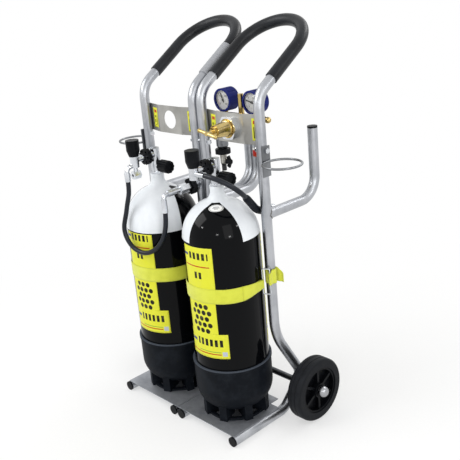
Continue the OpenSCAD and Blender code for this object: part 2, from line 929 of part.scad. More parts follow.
// Quarter bend that comes forwards out of the block and turns down
module elbow(bend) {
    rotate([90, 0, -90]) rotate_extrude(angle = 90) translate([bend, 0]) circle(hose_r);
}

// Connector: stem through the handwheel and block under the shut-off knob; the left one has a bleed port
module connector_body() {
    translate([0, -outlet_reach, outlet_z]) along_front()
        cylinder(r = stem_r, h = block_reach - outlet_reach);
    translate([0, -block_reach, outlet_z - block_down]) {
        cylinder(r = block_r, h = block_down + block_up);
        cylinder(r = spindle_r, h = block_down + block_up + shutoff_h - shutoff_cap - past);
    }
}

module bleed_port() {
    translate([0, -block_reach, outlet_z - bleed_drop]) {
        cylinder(r = bleed_neck_r, h = bleed_drop - block_down + sink);
        translate([0, bleed_port_l / 2, 0]) along_front() difference() {
            cylinder(r = bleed_port_r, h = bleed_port_l, $fn = 6);
            translate([0, 0, bleed_port_l - bleed_bore_h])
                cylinder(r = bleed_bore_r, h = bleed_bore_h + past);
        }
    }
}

module left_connector() {
    front = block_reach + block_r + elbow_neck;
    z = outlet_z - elbow_drop;
    on_cylinder(-1) color("lightsteelblue") {
        connector_body();
        bleed_port();
        translate([0, -block_reach, z]) along_front() cylinder(r = hose_r, h = block_r + elbow_neck);
        translate([0, -front, z - elbow_bend]) elbow(elbow_bend);
        translate([0, -front - elbow_bend, z - elbow_bend - left_ferrule_l])
            cylinder(r = ferrule_r, h = left_ferrule_l);
    }
}

module right_connector() {
    on_cylinder(1) color("lightsteelblue") {
        connector_body();
        translate([0, -block_reach, right_hose_start.z]) along_x()
            cylinder(r = ferrule_r, h = right_ferrule_end);
    }
}

// Handwheel with finger scallops and holes, on the XY plane
module din_wheel(r, h, bore) {
    fingers = 6;
    scallop_r = 4;
    difference() {
        cylinder(r = r, h = h);
        translate([0, 0, -past]) cylinder(r = bore, h = h + 2 * past);
        for (k = [0 : fingers - 1]) rotate(360 * k / fingers) {
            translate([(r + bore) / 2, 0, -past]) cylinder(r = (r - bore) / 4, h = h + 2 * past);
            rotate(180 / fingers) translate([r + scallop_r / 2, 0, -past])
                cylinder(r = scallop_r, h = h + 2 * past);
        }
    }
}

module connector_wheel(side) {
    on_cylinder(side) color("dimgray") translate([0, -outlet_reach - face_gap, outlet_z]) along_front()
        din_wheel(din_wheel_r, wheel_t, stem_r + run_fit);
}

module shutoff_knob(side) {
    bottom = outlet_z + block_up + face_gap;
    on_cylinder(side) color("dimgray") translate([0, -block_reach, bottom]) difference() {
        rotate_extrude() polygon([
            [0, 0], [shutoff_r[0], 0], [shutoff_r[1], shutoff_taper], [shutoff_r[1], shutoff_h], [0, shutoff_h]
        ]);
        translate([0, 0, -past]) cylinder(r = spindle_r + run_fit, h = shutoff_h - shutoff_cap + past);
        for (k = [0 : shutoff_grooves - 1]) rotate(360 * k / shutoff_grooves)
            translate([shutoff_r[1] - groove_in, -groove_w / 2, -past])
                cube([groove_in + past, groove_w, shutoff_h + 2 * past]);
    }
}

module parked_connector() {
    placed() color("lightsteelblue") translate([-inner_x, 0, park_z]) {
        translate([0, park_stud_y, 0]) along_front() cylinder(r = stem_r, h = park_stud_y - park_front_y);
        translate([0, park_stud_y - wheel_t - park_nut_gap, 0]) along_front()
            cylinder(r = park_nut_r, h = park_nut_l, $fn = 6);
        translate([0, park_front_y, -park_bend]) elbow(park_bend);
        translate([0, park_front_y - park_bend, -park_bend - park_drop])
            cylinder(r = ferrule_r, h = park_drop);
    }
}

module parked_wheel() {
    placed() color("dimgray") translate([-inner_x, park_stud_y - face_gap, park_z]) along_front()
        din_wheel(din_wheel_r, wheel_t, stem_r + run_fit);
}

module parking_fittings() {
    clip_in = ferrule_r + seat_fit;
    clip_out = clip_in + clip_wall;
    tab_x = hose_end_x + clip_in + clip_wall / 2;
    placed() color("silver") {
        difference() {
            translate([-inner_x, 0, park_z]) along_front() cylinder(r = outlet_r, h = -park_stud_y);
            leg_space(-inner_x, tube_r);
        }
        translate([0, clip_y + clip_w, hook_z]) along_front() {
            translate([hose_end_x, 0, 0]) pipe(clip_out, clip_in, clip_w);
            translate([tab_x, -clip_wall, 0]) cube([outer_x - tube_r - tab_x, 2 * clip_wall, clip_w]);
        }
    }
}

module left_hose() {
    placed() color("dimgray") swept(left_route, left_route_r, [[0, 0, -1], [0, 0, 1]], [0, 1, 0]);
}

module right_hose() {
    placed() color("dimgray") swept(right_route, right_route_r, [[1, 0, 0], [0, 1, 0]], [1, -1, 1]);
}

module right_hose_end() {
    placed() color("lightsteelblue") translate([hose_end_x, hose_end_y[0], hook_z]) rotate([-90, 0, 0])
        cylinder(r = ferrule_r, h = hose_end_y[1] - hose_end_y[0]);
}

// Regulator
module on_regulator(y, z) {
    placed() translate([mid_x, y, z]) children();
}

module regulator_body() {
    back = body_back - panel_t / 2;
    color("goldenrod") {
        on_regulator(panel_t / 2, panel_mid_z) along_front()
            cylinder(r = spigot_r, h = panel_t / 2 - spigot_front);
        on_regulator(body_back, panel_mid_z) along_front() {
            cylinder(r = body_r, h = back);
            translate([0, 0, back - flange_t]) cylinder(r = flange_r, h = flange_t);
        }
        regulator_bar();
        on_inlet(bell_top) cylinder(r = boss_r, h = boss_l);
    }
}

module regulator_bar() {
    left = mid_x - inlet_x + bar_left;
    on_regulator(bar_y, bar_z) {
        translate([-left, 0, 0]) along_x() cylinder(r = bar_r, h = left + bar_right);
        translate([bar_right, 0, 0]) along_x() {
            cylinder(r = dome_neck_r, h = dome_neck_l);
            translate([0, 0, dome_neck_l]) sphere(dome_r);
        }
        for (side = [-1, 1]) translate([side * gauge_offset, gauge_neck_back, 0])
            cylinder(r = gauge_neck_r, h = gauge_z - gauge_r - bar_z);
        translate([0, relief_back, 0]) cylinder(r = relief_r, h = relief_h);
    }
}

module regulator_bonnet() {
    length = spigot_front - bonnet_front;
    bore_from = spigot_front - screw_back - past;
    on_regulator(spigot_front, panel_mid_z) along_front() color("goldenrod") difference() {
        union() {
            cylinder(r = bonnet_r[0] + bonnet_rim, h = bonnet_rim_h);
            cylinder(r1 = bonnet_r[0], r2 = bonnet_r[1], h = length - bonnet_nose_h);
            cylinder(r = bonnet_nose_r, h = length);
        }
        translate([0, 0, bore_from]) cylinder(r = screw_r + run_fit, h = length);
    }
}

module regulator_ring_nut() {
    height = nut_back - ring_nut_front;
    on_regulator(nut_back, panel_mid_z) along_front() color("lightsteelblue") difference() {
        intersection() {
            cylinder(r = ring_nut_r, h = height, $fn = 6);
            cylinder(r = ring_nut_r - ring_nut_corner, h = height);
        }
        translate([0, 0, -past]) cylinder(r = spigot_r + seat_fit, h = height + 2 * past);
    }
}

module tee_screw() {
    on_regulator(screw_back, panel_mid_z) along_front() color("goldenrod") {
        cylinder(r = screw_r, h = screw_back - tee_y + screw_r);
        translate([0, 0, screw_back - tee_y]) rotate([0, 90, -tee_angle]) {
            translate([0, 0, -tee_length / 2]) cylinder(r = tee_r, h = tee_length);
            for (end = [-1, 1]) translate([0, 0, end * tee_length / 2]) sphere(tee_end_r);
        }
    }
}

module each_gauge(y) {
    for (side = [-1, 1])
        on_regulator(y, gauge_z) translate([side * gauge_offset, 0, 0]) along_front() children();
}

module gauge_boots() {
    recess = dial_y + dial_t - gauge_front;
    rib_l = gauge_depth - rib_back - rib_front;
    each_gauge(gauge_front + gauge_depth) color("royalblue") difference() {
        cylinder(r = gauge_r, h = gauge_depth);
        translate([0, 0, gauge_depth - recess]) cylinder(r = dial_r, h = recess + past);
        for (k = [0 : gauge_ribs - 1]) rotate(360 * (k + 0.5) / gauge_ribs)
            translate([gauge_r - rib_depth, -rib_w / 2, rib_back]) cube([rib_depth + past, rib_w, rib_l]);
    }
}

module gauge_dials() {
    each_gauge(dial_y + dial_t) color("white") {
        cylinder(r = dial_r - seat_fit, h = dial_t);
        cylinder(r = pivot_r, h = dial_t + dial_y - pointer_y);
    }
}

module gauge_lenses() {
    each_gauge(gauge_front + lens_t) color("lightcyan") cylinder(r = dial_r - seat_fit, h = lens_t);
}

// Pointer on its pivot, turned anticlockwise from the top of its dial
module pointer(side, angle) {
    length = pointer_tail + dial_r - pointer_short;
    on_regulator(pointer_y + pointer_t, gauge_z) translate([side * gauge_offset, 0, 0]) along_front()
        color("black") difference() {
            union() {
                cylinder(r = pointer_hub_r, h = pointer_t);
                rotate(angle) translate([-pointer_w / 2, -pointer_tail, 0])
                    cube([pointer_w, length, pointer_t]);
            }
            translate([0, 0, -past]) cylinder(r = pivot_r + run_fit, h = pointer_t + 2 * past);
        }
}

module on_inlet(z) {
    placed() translate([inlet_x, bar_y, z]) children();
}

module inlet_coupling() {
    on_inlet(bell_top - bell_h) color("gray") {
        translate([0, 0, bell_lip]) cylinder(r = bell_r, h = bell_h - bell_lip);
        cylinder(r1 = bell_r - bell_lip_in, r2 = bell_r, h = bell_lip);
        translate([0, 0, -inlet_wheel_h - 2 * face_gap])
            cylinder(r = inlet_stem_r, h = inlet_wheel_h + 2 * face_gap + sink);
    }
}

module inlet_wheel() {
    on_inlet(bell_top - bell_h - face_gap - inlet_wheel_h) color("dimgray")
        din_wheel(inlet_wheel_r, inlet_wheel_h, inlet_stem_r + run_fit);
}

module bleed_body() {
    on_inlet(bleed_top - bleed_body_h) color("silver") {
        translate([0, 0, bleed_taper]) cylinder(r = bleed_body_r, h = bleed_body_h - bleed_taper);
        cylinder(r1 = dust_plug_r, r2 = bleed_body_r, h = bleed_taper);
        translate([0, 0, -dust_plug_h]) cylinder(r = dust_plug_r, h = dust_plug_h);
    }
    on_inlet(bleed_top - wing_drop) along_x() color("silver") {
        cylinder(r = wing_boss_r, h = bleed_body_r + wing_boss_l);
        cylinder(r = spindle_r, h = bleed_body_r + wing_boss_l + wing_bore_h - past);
    }
}

module wing_knob() {
    start = bleed_body_r + wing_boss_l + face_gap;
    on_inlet(bleed_top - wing_drop) translate([start, 0, 0]) along_x() color("dimgray") difference() {
        union() {
            cylinder(r = wing_hub_r, h = wing_hub_h);
            for (side = [0, 180]) rotate(side) rotate([0, wing_tilt, 0])
                translate([0, -wing_t / 2, wing_base]) cube([wing_reach, wing_t, wing_h]);
        }
        translate([0, 0, -past]) cylinder(r = spindle_r + run_fit, h = wing_bore_h + past);
    }
}

hoop(-1);  // left_hoop
hoop(1);  // right_hoop
toe_plate(-1);  // left_toe_plate
toe_plate(1);  // right_toe_plate
tube_end_plugs();
hook_arms(-1);  // left_hook_arms
hook_arms(1);  // right_hook_arms
panel(-1);  // left_panel
panel(1);  // right_panel
ring_holder(-1);  // left_ring_holder
ring_holder(1);  // right_ring_holder
frame_bolts();
grip(-1);  // left_grip
grip(1);  // right_grip
axle();
axle_lugs();
axle_spacers();
axle_dome_nuts();
tyre(-1);  // left_tyre
rim(-1);  // left_rim
hub_bush(-1);  // left_hub_bush
tyre(1);  // right_tyre
rim(1);  // right_rim
hub_bush(1);  // right_hub_bush
gas_cylinder(-1);  // left_cylinder
gas_cylinder(1);  // right_cylinder
boot(-1);  // left_boot
boot(1);  // right_boot
strap(-1);  // left_strap
strap(1);  // right_strap
strap_buckles();
valve(-1);  // left_valve
valve(1);  // right_valve
valve_knob(-1);  // left_valve_knob
valve_knob(1);  // right_valve_knob
left_connector();
right_connector();
connector_wheel(-1);  // left_connector_wheel
connector_wheel(1);  // right_connector_wheel
shutoff_knob(-1);  // left_shutoff_knob
shutoff_knob(1);  // right_shutoff_knob
parked_connector();
parked_wheel();
parking_fittings();
left_hose();
right_hose();
right_hose_end();
regulator_body();
regulator_bonnet();
regulator_ring_nut();
tee_screw();
gauge_boots();
gauge_dials();
gauge_lenses();
pointer(-1, high_reading);  // high_pointer
pointer(1, low_reading);  // low_pointer
inlet_coupling();
inlet_wheel();
bleed_body();
wing_knob();
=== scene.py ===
"""Looks of the twin gas cylinder trolley: materials, hoses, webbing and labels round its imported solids."""

import math

import bpy
from mathutils import Matrix, Vector


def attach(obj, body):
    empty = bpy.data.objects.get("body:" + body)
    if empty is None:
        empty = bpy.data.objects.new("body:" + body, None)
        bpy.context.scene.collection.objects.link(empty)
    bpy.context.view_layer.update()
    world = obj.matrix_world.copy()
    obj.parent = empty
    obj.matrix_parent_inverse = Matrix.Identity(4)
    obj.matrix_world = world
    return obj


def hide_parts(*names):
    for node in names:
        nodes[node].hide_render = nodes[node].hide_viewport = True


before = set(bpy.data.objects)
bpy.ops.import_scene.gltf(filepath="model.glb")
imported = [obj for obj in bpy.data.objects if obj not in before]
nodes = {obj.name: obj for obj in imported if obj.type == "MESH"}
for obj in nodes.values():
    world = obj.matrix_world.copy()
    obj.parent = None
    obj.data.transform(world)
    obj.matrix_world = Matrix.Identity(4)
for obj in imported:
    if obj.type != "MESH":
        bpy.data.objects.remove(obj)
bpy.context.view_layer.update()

# Sizes that the solids share, in millimetres: X right, legs in the plane Y = 0, Z up from the floor
MM = 0.001
FRAME_SHIFT = -29.4932
TUBE_R = 13.5
INNER_X = 16.5
OUTER_X = 224.5
MID_X = (INNER_X + OUTER_X) / 2
CYLINDER_R = 101.5
CYLINDER_BACK_Y = 35.5
CYLINDER_Y = CYLINDER_BACK_Y - CYLINDER_R
SHOULDER_Z = 535
NECK_FOOT_Z = 632
HANDLE_CORNER_Z = 888
HANDLE_SLOPE = math.radians(33.5)
GRIP_R = 16
PANEL_FLAT = 46.5
PANEL_END = 97.25
PANEL_T = 2
WING_BACK = 12
PANEL_MID_Z = 802
HOOK_Z = 588
HOOK_REACH = 191.5
GAUGE_OFFSET = 52
GAUGE_Z = 863
DIAL_Y = 30
DIAL_R = 25
AXLE_Y = 58.477
WHEEL_R = 88
AXLE_Z = WHEEL_R
BOOT_TOP_Z = 190
DUST_PLUG_TOP_Z = 692
SIDES = ((-1, "left"), (1, "right"))


def place(x, y, z):
    """A point given in millimetres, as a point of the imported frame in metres."""
    return Vector((x, y + FRAME_SHIFT, z)) * MM


# Camera at the photograph's place and tilt
CAMERA_PLACE = (1492.8, -1275.1, 1188.2)
CAMERA_AZIMUTH = math.radians(47.87)
CAMERA_ELEVATION = math.radians(19.39)
CAMERA_ROLL = math.radians(-5.16)
CAMERA_LENS = 58.82


def make_camera():
    back = Vector((
        math.sin(CAMERA_AZIMUTH) * math.cos(CAMERA_ELEVATION),
        -math.cos(CAMERA_AZIMUTH) * math.cos(CAMERA_ELEVATION),
        math.sin(CAMERA_ELEVATION),
    ))
    right = Vector((0, 0, 1)).cross(back).normalized()
    up = back.cross(right)
    across = math.cos(CAMERA_ROLL) * right + math.sin(CAMERA_ROLL) * up
    upward = math.cos(CAMERA_ROLL) * up - math.sin(CAMERA_ROLL) * right
    camera = bpy.data.objects.new("camera", bpy.data.cameras.new("camera"))
    camera.data.lens = CAMERA_LENS
    camera.data.clip_end = 200
    turn = Matrix((across, upward, back)).transposed().to_4x4()
    camera.matrix_world = Matrix.Translation(place(*CAMERA_PLACE)) @ turn
    bpy.context.scene.collection.objects.link(camera)
    bpy.context.scene.camera = camera


make_camera()


# Node materials
def colour(code):
    """Linear colour of a six-digit hexadecimal sRGB code."""
    parts = [int(code[i:i + 2], 16) / 255 for i in (0, 2, 4)]
    return [c / 12.92 if c <= 0.04045 else ((c + 0.055) / 1.055) ** 2.4 for c in parts] + [1]


def socket_title(name):
    """Title of a shader's socket for its plain name, such as Base Color for base_color."""
    return name.replace("_", " ").title().replace("Ior", "IOR")


class Finish:
    """A principled material under construction; each method adds nodes and returns an output socket."""

    def __init__(self, name, **settings):
        self.material = bpy.data.materials.new(name)
        self.material.use_nodes = True
        self.tree = self.material.node_tree
        self.shader = self.tree.nodes["Principled BSDF"]
        for socket, value in settings.items():
            self.shader.inputs[socket_title(socket)].default_value = value

    def node(self, kind, inputs=(), **settings):
        made = self.tree.nodes.new(kind)
        for key, value in settings.items():
            setattr(made, key, value)
        for key, value in dict(inputs).items():
            self.put(value, made.inputs[key])
        return made

    def put(self, value, socket):
        """Links an output to a socket, or sets a plain value on it."""
        if isinstance(value, bpy.types.NodeSocket):
            self.tree.links.new(value, socket)
        else:
            socket.default_value = value

    def sets(self, **sockets):
        """Links outputs to the shader's own sockets."""
        for name, value in sockets.items():
            self.put(value, self.shader.inputs[socket_title(name)])
        return self

    def place(self, scale=(1, 1, 1), shift=(0, 0, 0), turn=(0, 0, 0)):
        """Object coordinates in metres, moved, turned and then scaled."""
        here = self.node("ShaderNodeTexCoord").outputs["Object"]
        moved = self.node("ShaderNodeVectorMath", {0: here, 1: shift}, operation="ADD").outputs[0]
        turned = self.node("ShaderNodeMapping", {"Vector": moved, "Rotation": turn}).outputs[0]
        return self.node("ShaderNodeVectorMath", {0: turned, 1: scale}, operation="MULTIPLY").outputs[0]

    def surface(self):
        """The piece's own flat coordinates: millimetres along it and across it."""
        flat = self.node("ShaderNodeTexCoord").outputs["UV"]
        return self.split(self.node("ShaderNodeVectorMath", {0: flat, 1: (1000, 1000, 0)},
                                    operation="MULTIPLY").outputs[0])

    def split(self, vector):
        return self.node("ShaderNodeSeparateXYZ", {0: vector}).outputs

    def noise(self, grain, detail=4, rough=0.55):
        """Noise with a number of repeats in a metre: one number, or one for each axis."""
        repeats = grain if isinstance(grain, tuple) else (grain,) * 3
        return self.node("ShaderNodeTexNoise", {
            "Vector": self.place(repeats), "Scale": 1, "Detail": detail, "Roughness": rough}).outputs["Fac"]

    def calc(self, operation, a, b=0.0, c=0.0):
        return self.node("ShaderNodeMath", {0: a, 1: b, 2: c}, operation=operation).outputs[0]

    def length(self, a, b):
        """Length of a pair of values taken as the two sides of a right angle."""
        return self.calc("SQRT", self.calc("ADD", self.calc("POWER", a, 2), self.calc("POWER", b, 2)))

    def span(self, value, low, high, to_low=0.0, to_high=1.0):
        """Carries a value from one range to another and holds it there."""
        ends = {"From Min": low, "From Max": high, "To Min": to_low, "To Max": to_high}
        return self.node("ShaderNodeMapRange", {"Value": value, **ends}).outputs[0]

    def within(self, value, low, high):
        return self.calc("COMPARE", value, (low + high) / 2, (high - low) / 2)

    def block(self, u, v, low, high):
        """Mask of a rectangle between two corners."""
        return self.calc("MULTIPLY", self.within(u, low[0], high[0]), self.within(v, low[1], high[1]))

    def either(self, *masks):
        found = masks[0]
        for mask in masks[1:]:
            found = self.calc("MAXIMUM", found, mask)
        return found

    def mix(self, factor, first, second):
        made = self.node("ShaderNodeMix", data_type="RGBA")
        self.put(factor, made.inputs[0])
        self.put(first, made.inputs[6])
        self.put(second, made.inputs[7])
        return made.outputs[2]

    def edge_normal(self, radius):
        """Normal that rounds the sharp edges of a solid."""
        return self.node("ShaderNodeBevel", {"Radius": radius * MM}, samples=4).outputs[0]

    def edges(self, radius):
        """Mask of the worn sharp edges."""
        flat = self.node("ShaderNodeNewGeometry").outputs["Normal"]
        turned = self.node("ShaderNodeVectorMath", {0: self.edge_normal(radius), 1: flat},
                           operation="DOT_PRODUCT").outputs["Value"]
        return self.span(turned, 0.995, 0.85)

    def bump(self, height, depth, strength=1.0, normal=None):
        inputs = {"Height": height, "Distance": depth * MM, "Strength": strength}
        if normal is not None:
            inputs["Normal"] = normal
        return self.node("ShaderNodeBump", inputs).outputs[0]


def metal(name, tone, dark, rough, grain, edge=0.4):
    """Bare metal: a drawn or machined grain, dull patches and slightly rounded edges."""
    finish = Finish(name, metallic=1.0)
    lines = finish.noise(grain, 3)
    patches = finish.noise((14, 14, 9), 5, 0.65)
    tarnish = finish.span(patches, 0.38, 0.72)
    finish.sets(
        base_color=finish.mix(tarnish, colour(tone), colour(dark)),
        roughness=finish.span(finish.calc("ADD", lines, patches), 0.6, 1.4, rough[0], rough[1]),
        normal=finish.bump(lines, 0.02, 0.35, finish.edge_normal(edge)),
    )
    return finish.material


def moulded(name, tone, worn, rough, texture=900, depth=0.05, edge=0.5, gloss=0.1):
    """Moulded plastic or rubber: fine surface texture, dust and paler worn edges."""
    finish = Finish(name, specular_ior_level=gloss)
    skin = finish.noise(texture, 2)
    dust = finish.noise(22, 5, 0.7)
    wear = finish.calc("MULTIPLY", finish.edges(edge), finish.span(dust, 0.35, 0.65))
    shade = finish.calc("ADD", finish.calc("MULTIPLY", finish.span(dust, 0.4, 0.8), 0.25),
                        finish.calc("MULTIPLY", wear, 0.55))
    finish.sets(
        base_color=finish.mix(shade, colour(tone), colour(worn)),
        roughness=finish.span(dust, 0.3, 0.75, rough[0], rough[1]),
        normal=finish.bump(skin, depth, 0.5, finish.edge_normal(edge)),
    )
    return finish.material


# Paint on the shoulders: the seam angles and lowest height of the white, and its margin beside a seam
WHITE_FIELDS = {"left": ((82, 148), 526), "right": ((-5, 80), 541)}
MARGIN_W = 14
MARGIN_FROM_R = 45


def white_shoulder(finish, side, seams, white_from):
    """Mask of the white on a shoulder: between two seams, in a margin beside them and on the neck."""
    off_axis = tuple(-place(side * MID_X, CYLINDER_Y, 0))
    across, along, up = finish.split(finish.place(shift=off_axis))
    turns = [(0, 0, -math.radians(angle)) for angle in seams]
    from_seams = [finish.split(finish.place(shift=off_axis, turn=turn))[0] for turn in turns]
    between = finish.calc("GREATER_THAN", finish.calc("MULTIPLY", *from_seams), 0)
    nearest = finish.calc("MINIMUM", *[finish.calc("ABSOLUTE", value) for value in from_seams])
    from_axis = finish.length(across, along)
    margin = finish.span(from_axis, MARGIN_FROM_R * MM, CYLINDER_R * MM, MARGIN_W * MM, 0)
    beside = finish.calc("LESS_THAN", nearest, margin)
    ragged = finish.calc("MULTIPLY", finish.noise(60), 1.5 * MM)
    height = finish.calc("ADD", up, ragged)
    neck = finish.calc("GREATER_THAN", height, NECK_FOOT_Z * MM)
    shoulder = finish.calc("GREATER_THAN", height, white_from * MM)
    return finish.calc("MULTIPLY", shoulder, finish.either(between, beside, neck))


def cylinder_paint(name, side):
    """Gloss black paint, slightly scuffed, with white fields on the shoulder."""
    finish = Finish(name + "_paint", specular_ior_level=0.08, coat_weight=0.05, coat_roughness=0.05)
    white = white_shoulder(finish, side, *WHITE_FIELDS[name])
    smudge = finish.noise((11, 11, 5), 6, 0.65)
    scuffs = finish.noise((160, 160, 20), 4, 0.7)
    marks = finish.calc("MULTIPLY", finish.span(scuffs, 0.66, 0.74), finish.span(smudge, 0.5, 0.62))
    pale = finish.mix(finish.span(smudge, 0.3, 0.8), colour("EDF0F3"), colour("D3D8DD"))
    black = finish.mix(marks, colour("050608"), colour("24262A"))
    peel = finish.noise(220, 2)
    finish.sets(
        base_color=finish.mix(white, black, pale),
        roughness=finish.span(smudge, 0.3, 0.75, 0.05, 0.14),
        normal=finish.bump(peel, 0.05, 0.25),
    )
    return finish.material


def webbing():
    """Woven polyester: ribs across, a twill along, bound edges and a little soiling."""
    finish = Finish("lime_webbing", sheen_weight=0.3, sheen_roughness=0.5)
    along, across = finish.surface()[:2]
    ribs = finish.calc("SINE", finish.calc("MULTIPLY", along, 3.4))
    twill = finish.calc("SINE", finish.calc("ADD", finish.calc("MULTIPLY", across, 2.6),
                                            finish.calc("MULTIPLY", along, 1.7)))
    weave = finish.calc("ADD", ribs, twill)
    edge = finish.span(finish.calc("ABSOLUTE", across), 16.5, 17.6)
    soil = finish.noise(30, 5, 0.65)
    shade = finish.calc("ADD", finish.span(weave, -2, 2, 0.22, 0), finish.span(soil, 0.45, 0.8, 0, 0.3))
    base = finish.mix(shade, colour("DCE13C"), colour("A4A81E"))
    finish.sets(
        base_color=finish.mix(finish.calc("MULTIPLY", edge, 0.35), base, colour("B7BE24")),
        roughness=finish.span(soil, 0.3, 0.7, 0.55, 0.8),
        normal=finish.bump(weave, 0.25, 0.5),
    )
    return finish.material


def printed(name, draw):
    """Glossy printed vinyl; draw returns the base colour from the flat coordinates."""
    finish = Finish(name, specular_ior_level=0.15)
    along, across = finish.surface()[:2]
    scuff = finish.noise(45, 5, 0.7)
    bubbles = finish.noise(90, 2)
    faded = finish.mix(finish.span(scuff, 0.45, 0.85, 0, 0.2), draw(finish, along, across), colour("C4C07A"))
    finish.sets(
        base_color=faded,
        roughness=finish.span(scuff, 0.3, 0.7, 0.28, 0.5),
        normal=finish.bump(bubbles, 0.12, 0.3),
    )
    return finish.material


# Smooth routes and swept meshes
def smooth(points, steps):
    """Points of a smooth curve through a list of points, with a number of steps in each span."""
    first = 2 * points[0] - points[1]
    last = 2 * points[-1] - points[-2]
    line = [first, *points, last]
    found = []
    for i in range(1, len(points)):
        p, q, r, s = line[i - 1:i + 3]
        for k in range(steps):
            t = k / steps
            found.append(0.5 * (2 * q + (r - p) * t + (2 * p - 5 * q + 4 * r - s) * t ** 2
                                + (3 * q - p - 3 * r + s) * t ** 3))
    return [*found, points[-1]]


def path_length(points):
    return sum((b - a).length for a, b in zip(points, points[1:]))


def add_piece(name, data, material):
    piece = bpy.data.objects.new(name, data)
    bpy.context.scene.collection.objects.link(piece)
    data.materials.append(material)
    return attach(piece, "frame")


def skin(name, rings, material, flats=None, closed=False):
    """Mesh through a row of equal rings of points; flats gives each point's two flat coordinates."""
    count = len(rings[0])
    corners = [p for ring in rings for p in ring]
    rows = len(rings) if closed else len(rings) - 1
    faces = []
    for i in range(rows):
        for k in range(count):
            a, b = i * count + k, i * count + (k + 1) % count
            step = count if i + 1 < len(rings) else count - len(rings) * count
            faces.append((a, b, b + step, a + step))
    if not closed:
        faces.append(tuple(reversed(range(count))))
        faces.append(tuple(range((len(rings) - 1) * count, len(rings) * count)))
    mesh = bpy.data.meshes.new(name)
    mesh.from_pydata(corners, [], faces)
    mesh.shade_smooth()
    if flats:
        layer = mesh.uv_layers.new(name="flat")
        for loop in mesh.loops:
            layer.data[loop.index].uv = flats[loop.vertex_index]
    return add_piece(name, mesh, material)


def round_rings(path, radius, sides, closed=False):
    """Rings round a path of points in metres; radius is a function of the distance along it, in metres."""
    rings, run = [], 0.0
    across = None
    for i, point in enumerate(path):
        after = path[(i + 1) % len(path)] if closed or i + 1 < len(path) else point
        before = path[i - 1] if closed or i > 0 else point
        way = (after - before).normalized()
        if across is None:
            across = way.orthogonal().normalized()
        across = (across - way * across.dot(way)).normalized()
        over = way.cross(across)
        if i > 0:
            run += (point - path[i - 1]).length
        turns = [2 * math.pi * k / sides for k in range(sides)]
        rings.append([point + radius(run) * (math.cos(a) * across + math.sin(a) * over) for a in turns])
    return rings


# Hoses: the same routes as their solids
HOSE_R = 6.5
SLEEVE_R = 10
SLEEVE_FROM = 5
LEFT_ROUTE = [
    (-120.5, -165, 667), (-123, -166, 635), (-131, -170, 604), (-137, -174, 577), (-144, -181, 540),
    (-138, -182, 510), (-117, -180, 486), (-86, -175, 475), (-56, -167, 480), (-33, -156, 498),
    (-20, -144, 526), (-17, -136, 557), (-16.5, -133, 589),
]
RIGHT_ROUTE = [
    (160.5, -136, 715), (186, -132.5, 711.5), (208, -122, 702), (222.5, -106, 688), (228.5, -87.5, 670.5),
    (224.5, -68.5, 653.5), (217, -50, 636.5), (210, -31.5, 619.5), (202.5, -12.5, 603), (197.5, 10.5, 592),
    (196, 36, 588),
]


def hose(name, route, material):
    """Hose from fitting to fitting, as a smooth curve through its route."""
    line = smooth([place(*p) for p in route], 2)
    data = bpy.data.curves.new(name, "CURVE")
    data.dimensions = "3D"
    data.bevel_depth = HOSE_R * MM
    data.bevel_resolution = 6
    data.resolution_u = 8
    data.use_fill_caps = True
    spline = data.splines.new("BEZIER")
    spline.bezier_points.add(len(line) - 1)
    for knot, point in zip(spline.bezier_points, line):
        knot.co = point
        knot.handle_left_type = knot.handle_right_type = "AUTO"
    piece = add_piece(name, data, material)
    return piece


def hose_sleeve(material):
    """Ribbed bend guard over the lower end of the right hose."""
    line = smooth([place(*p) for p in RIGHT_ROUTE[SLEEVE_FROM:]], 16)
    total = path_length(line)
    taper, rib = 12 * MM, 7 * MM

    def radius(run):
        lead = min(1, run / taper)
        ribbed = 0.3 * total < run < total - rib
        groove = 0.6 * max(0, math.cos(2 * math.pi * run / rib)) ** 6 if ribbed else 0
        return (HOSE_R + 0.4 + (SLEEVE_R - HOSE_R - 0.4) * lead ** 0.6 - groove) * MM

    return skin("right_hose_sleeve", round_rings(line, radius, 24), material)


def make_hoses():
    rubber = moulded("hose_rubber", "0A0F18", "2A3344", (0.26, 0.45), 500, 0.08, gloss=0.35)
    sleeve_rubber = moulded("sleeve_rubber", "0B0F16", "2C323C", (0.4, 0.62), 500, 0.08)
    left = hose("left_hose_line", LEFT_ROUTE, rubber)
    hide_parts("left_hose")
    sleeve = hose_sleeve(sleeve_rubber)
    right = hose("right_hose_line", RIGHT_ROUTE, rubber)
    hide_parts("right_hose")


make_hoses()


# Straps: webbing swept along plan routes on the right side and mirrored to the left
STRAP_W = 40
STRAP_T = 1.3
STRAP_Z = 404
WRAP_Z = 424
STRAP_R = CYLINDER_R + 0.2 + STRAP_T / 2
BAND_EYE_ANGLE = 111
BAND_EYE_R = CYLINDER_R + 5.7
WRAP_EYE = Vector((OUTER_X + 14, -18))
EYE_R = 2.1 + STRAP_T / 2
LEG_WRAP_R = TUBE_R + 0.3 + STRAP_T / 2


def round_cylinder(angle, r):
    """Plan point beside the right cylinder; the angle is from its front towards the outer side."""
    a = math.radians(angle)
    return Vector((MID_X + r * math.sin(a), CYLINDER_Y - r * math.cos(a)))


def plan_arc(centre, r, start, stop, steps):
    """Plan points on an arc; angles are from +X, in degrees."""
    turns = [math.radians(start + (stop - start) * k / steps) for k in range(steps + 1)]
    return [centre + r * Vector((math.cos(a), math.sin(a))) for a in turns]


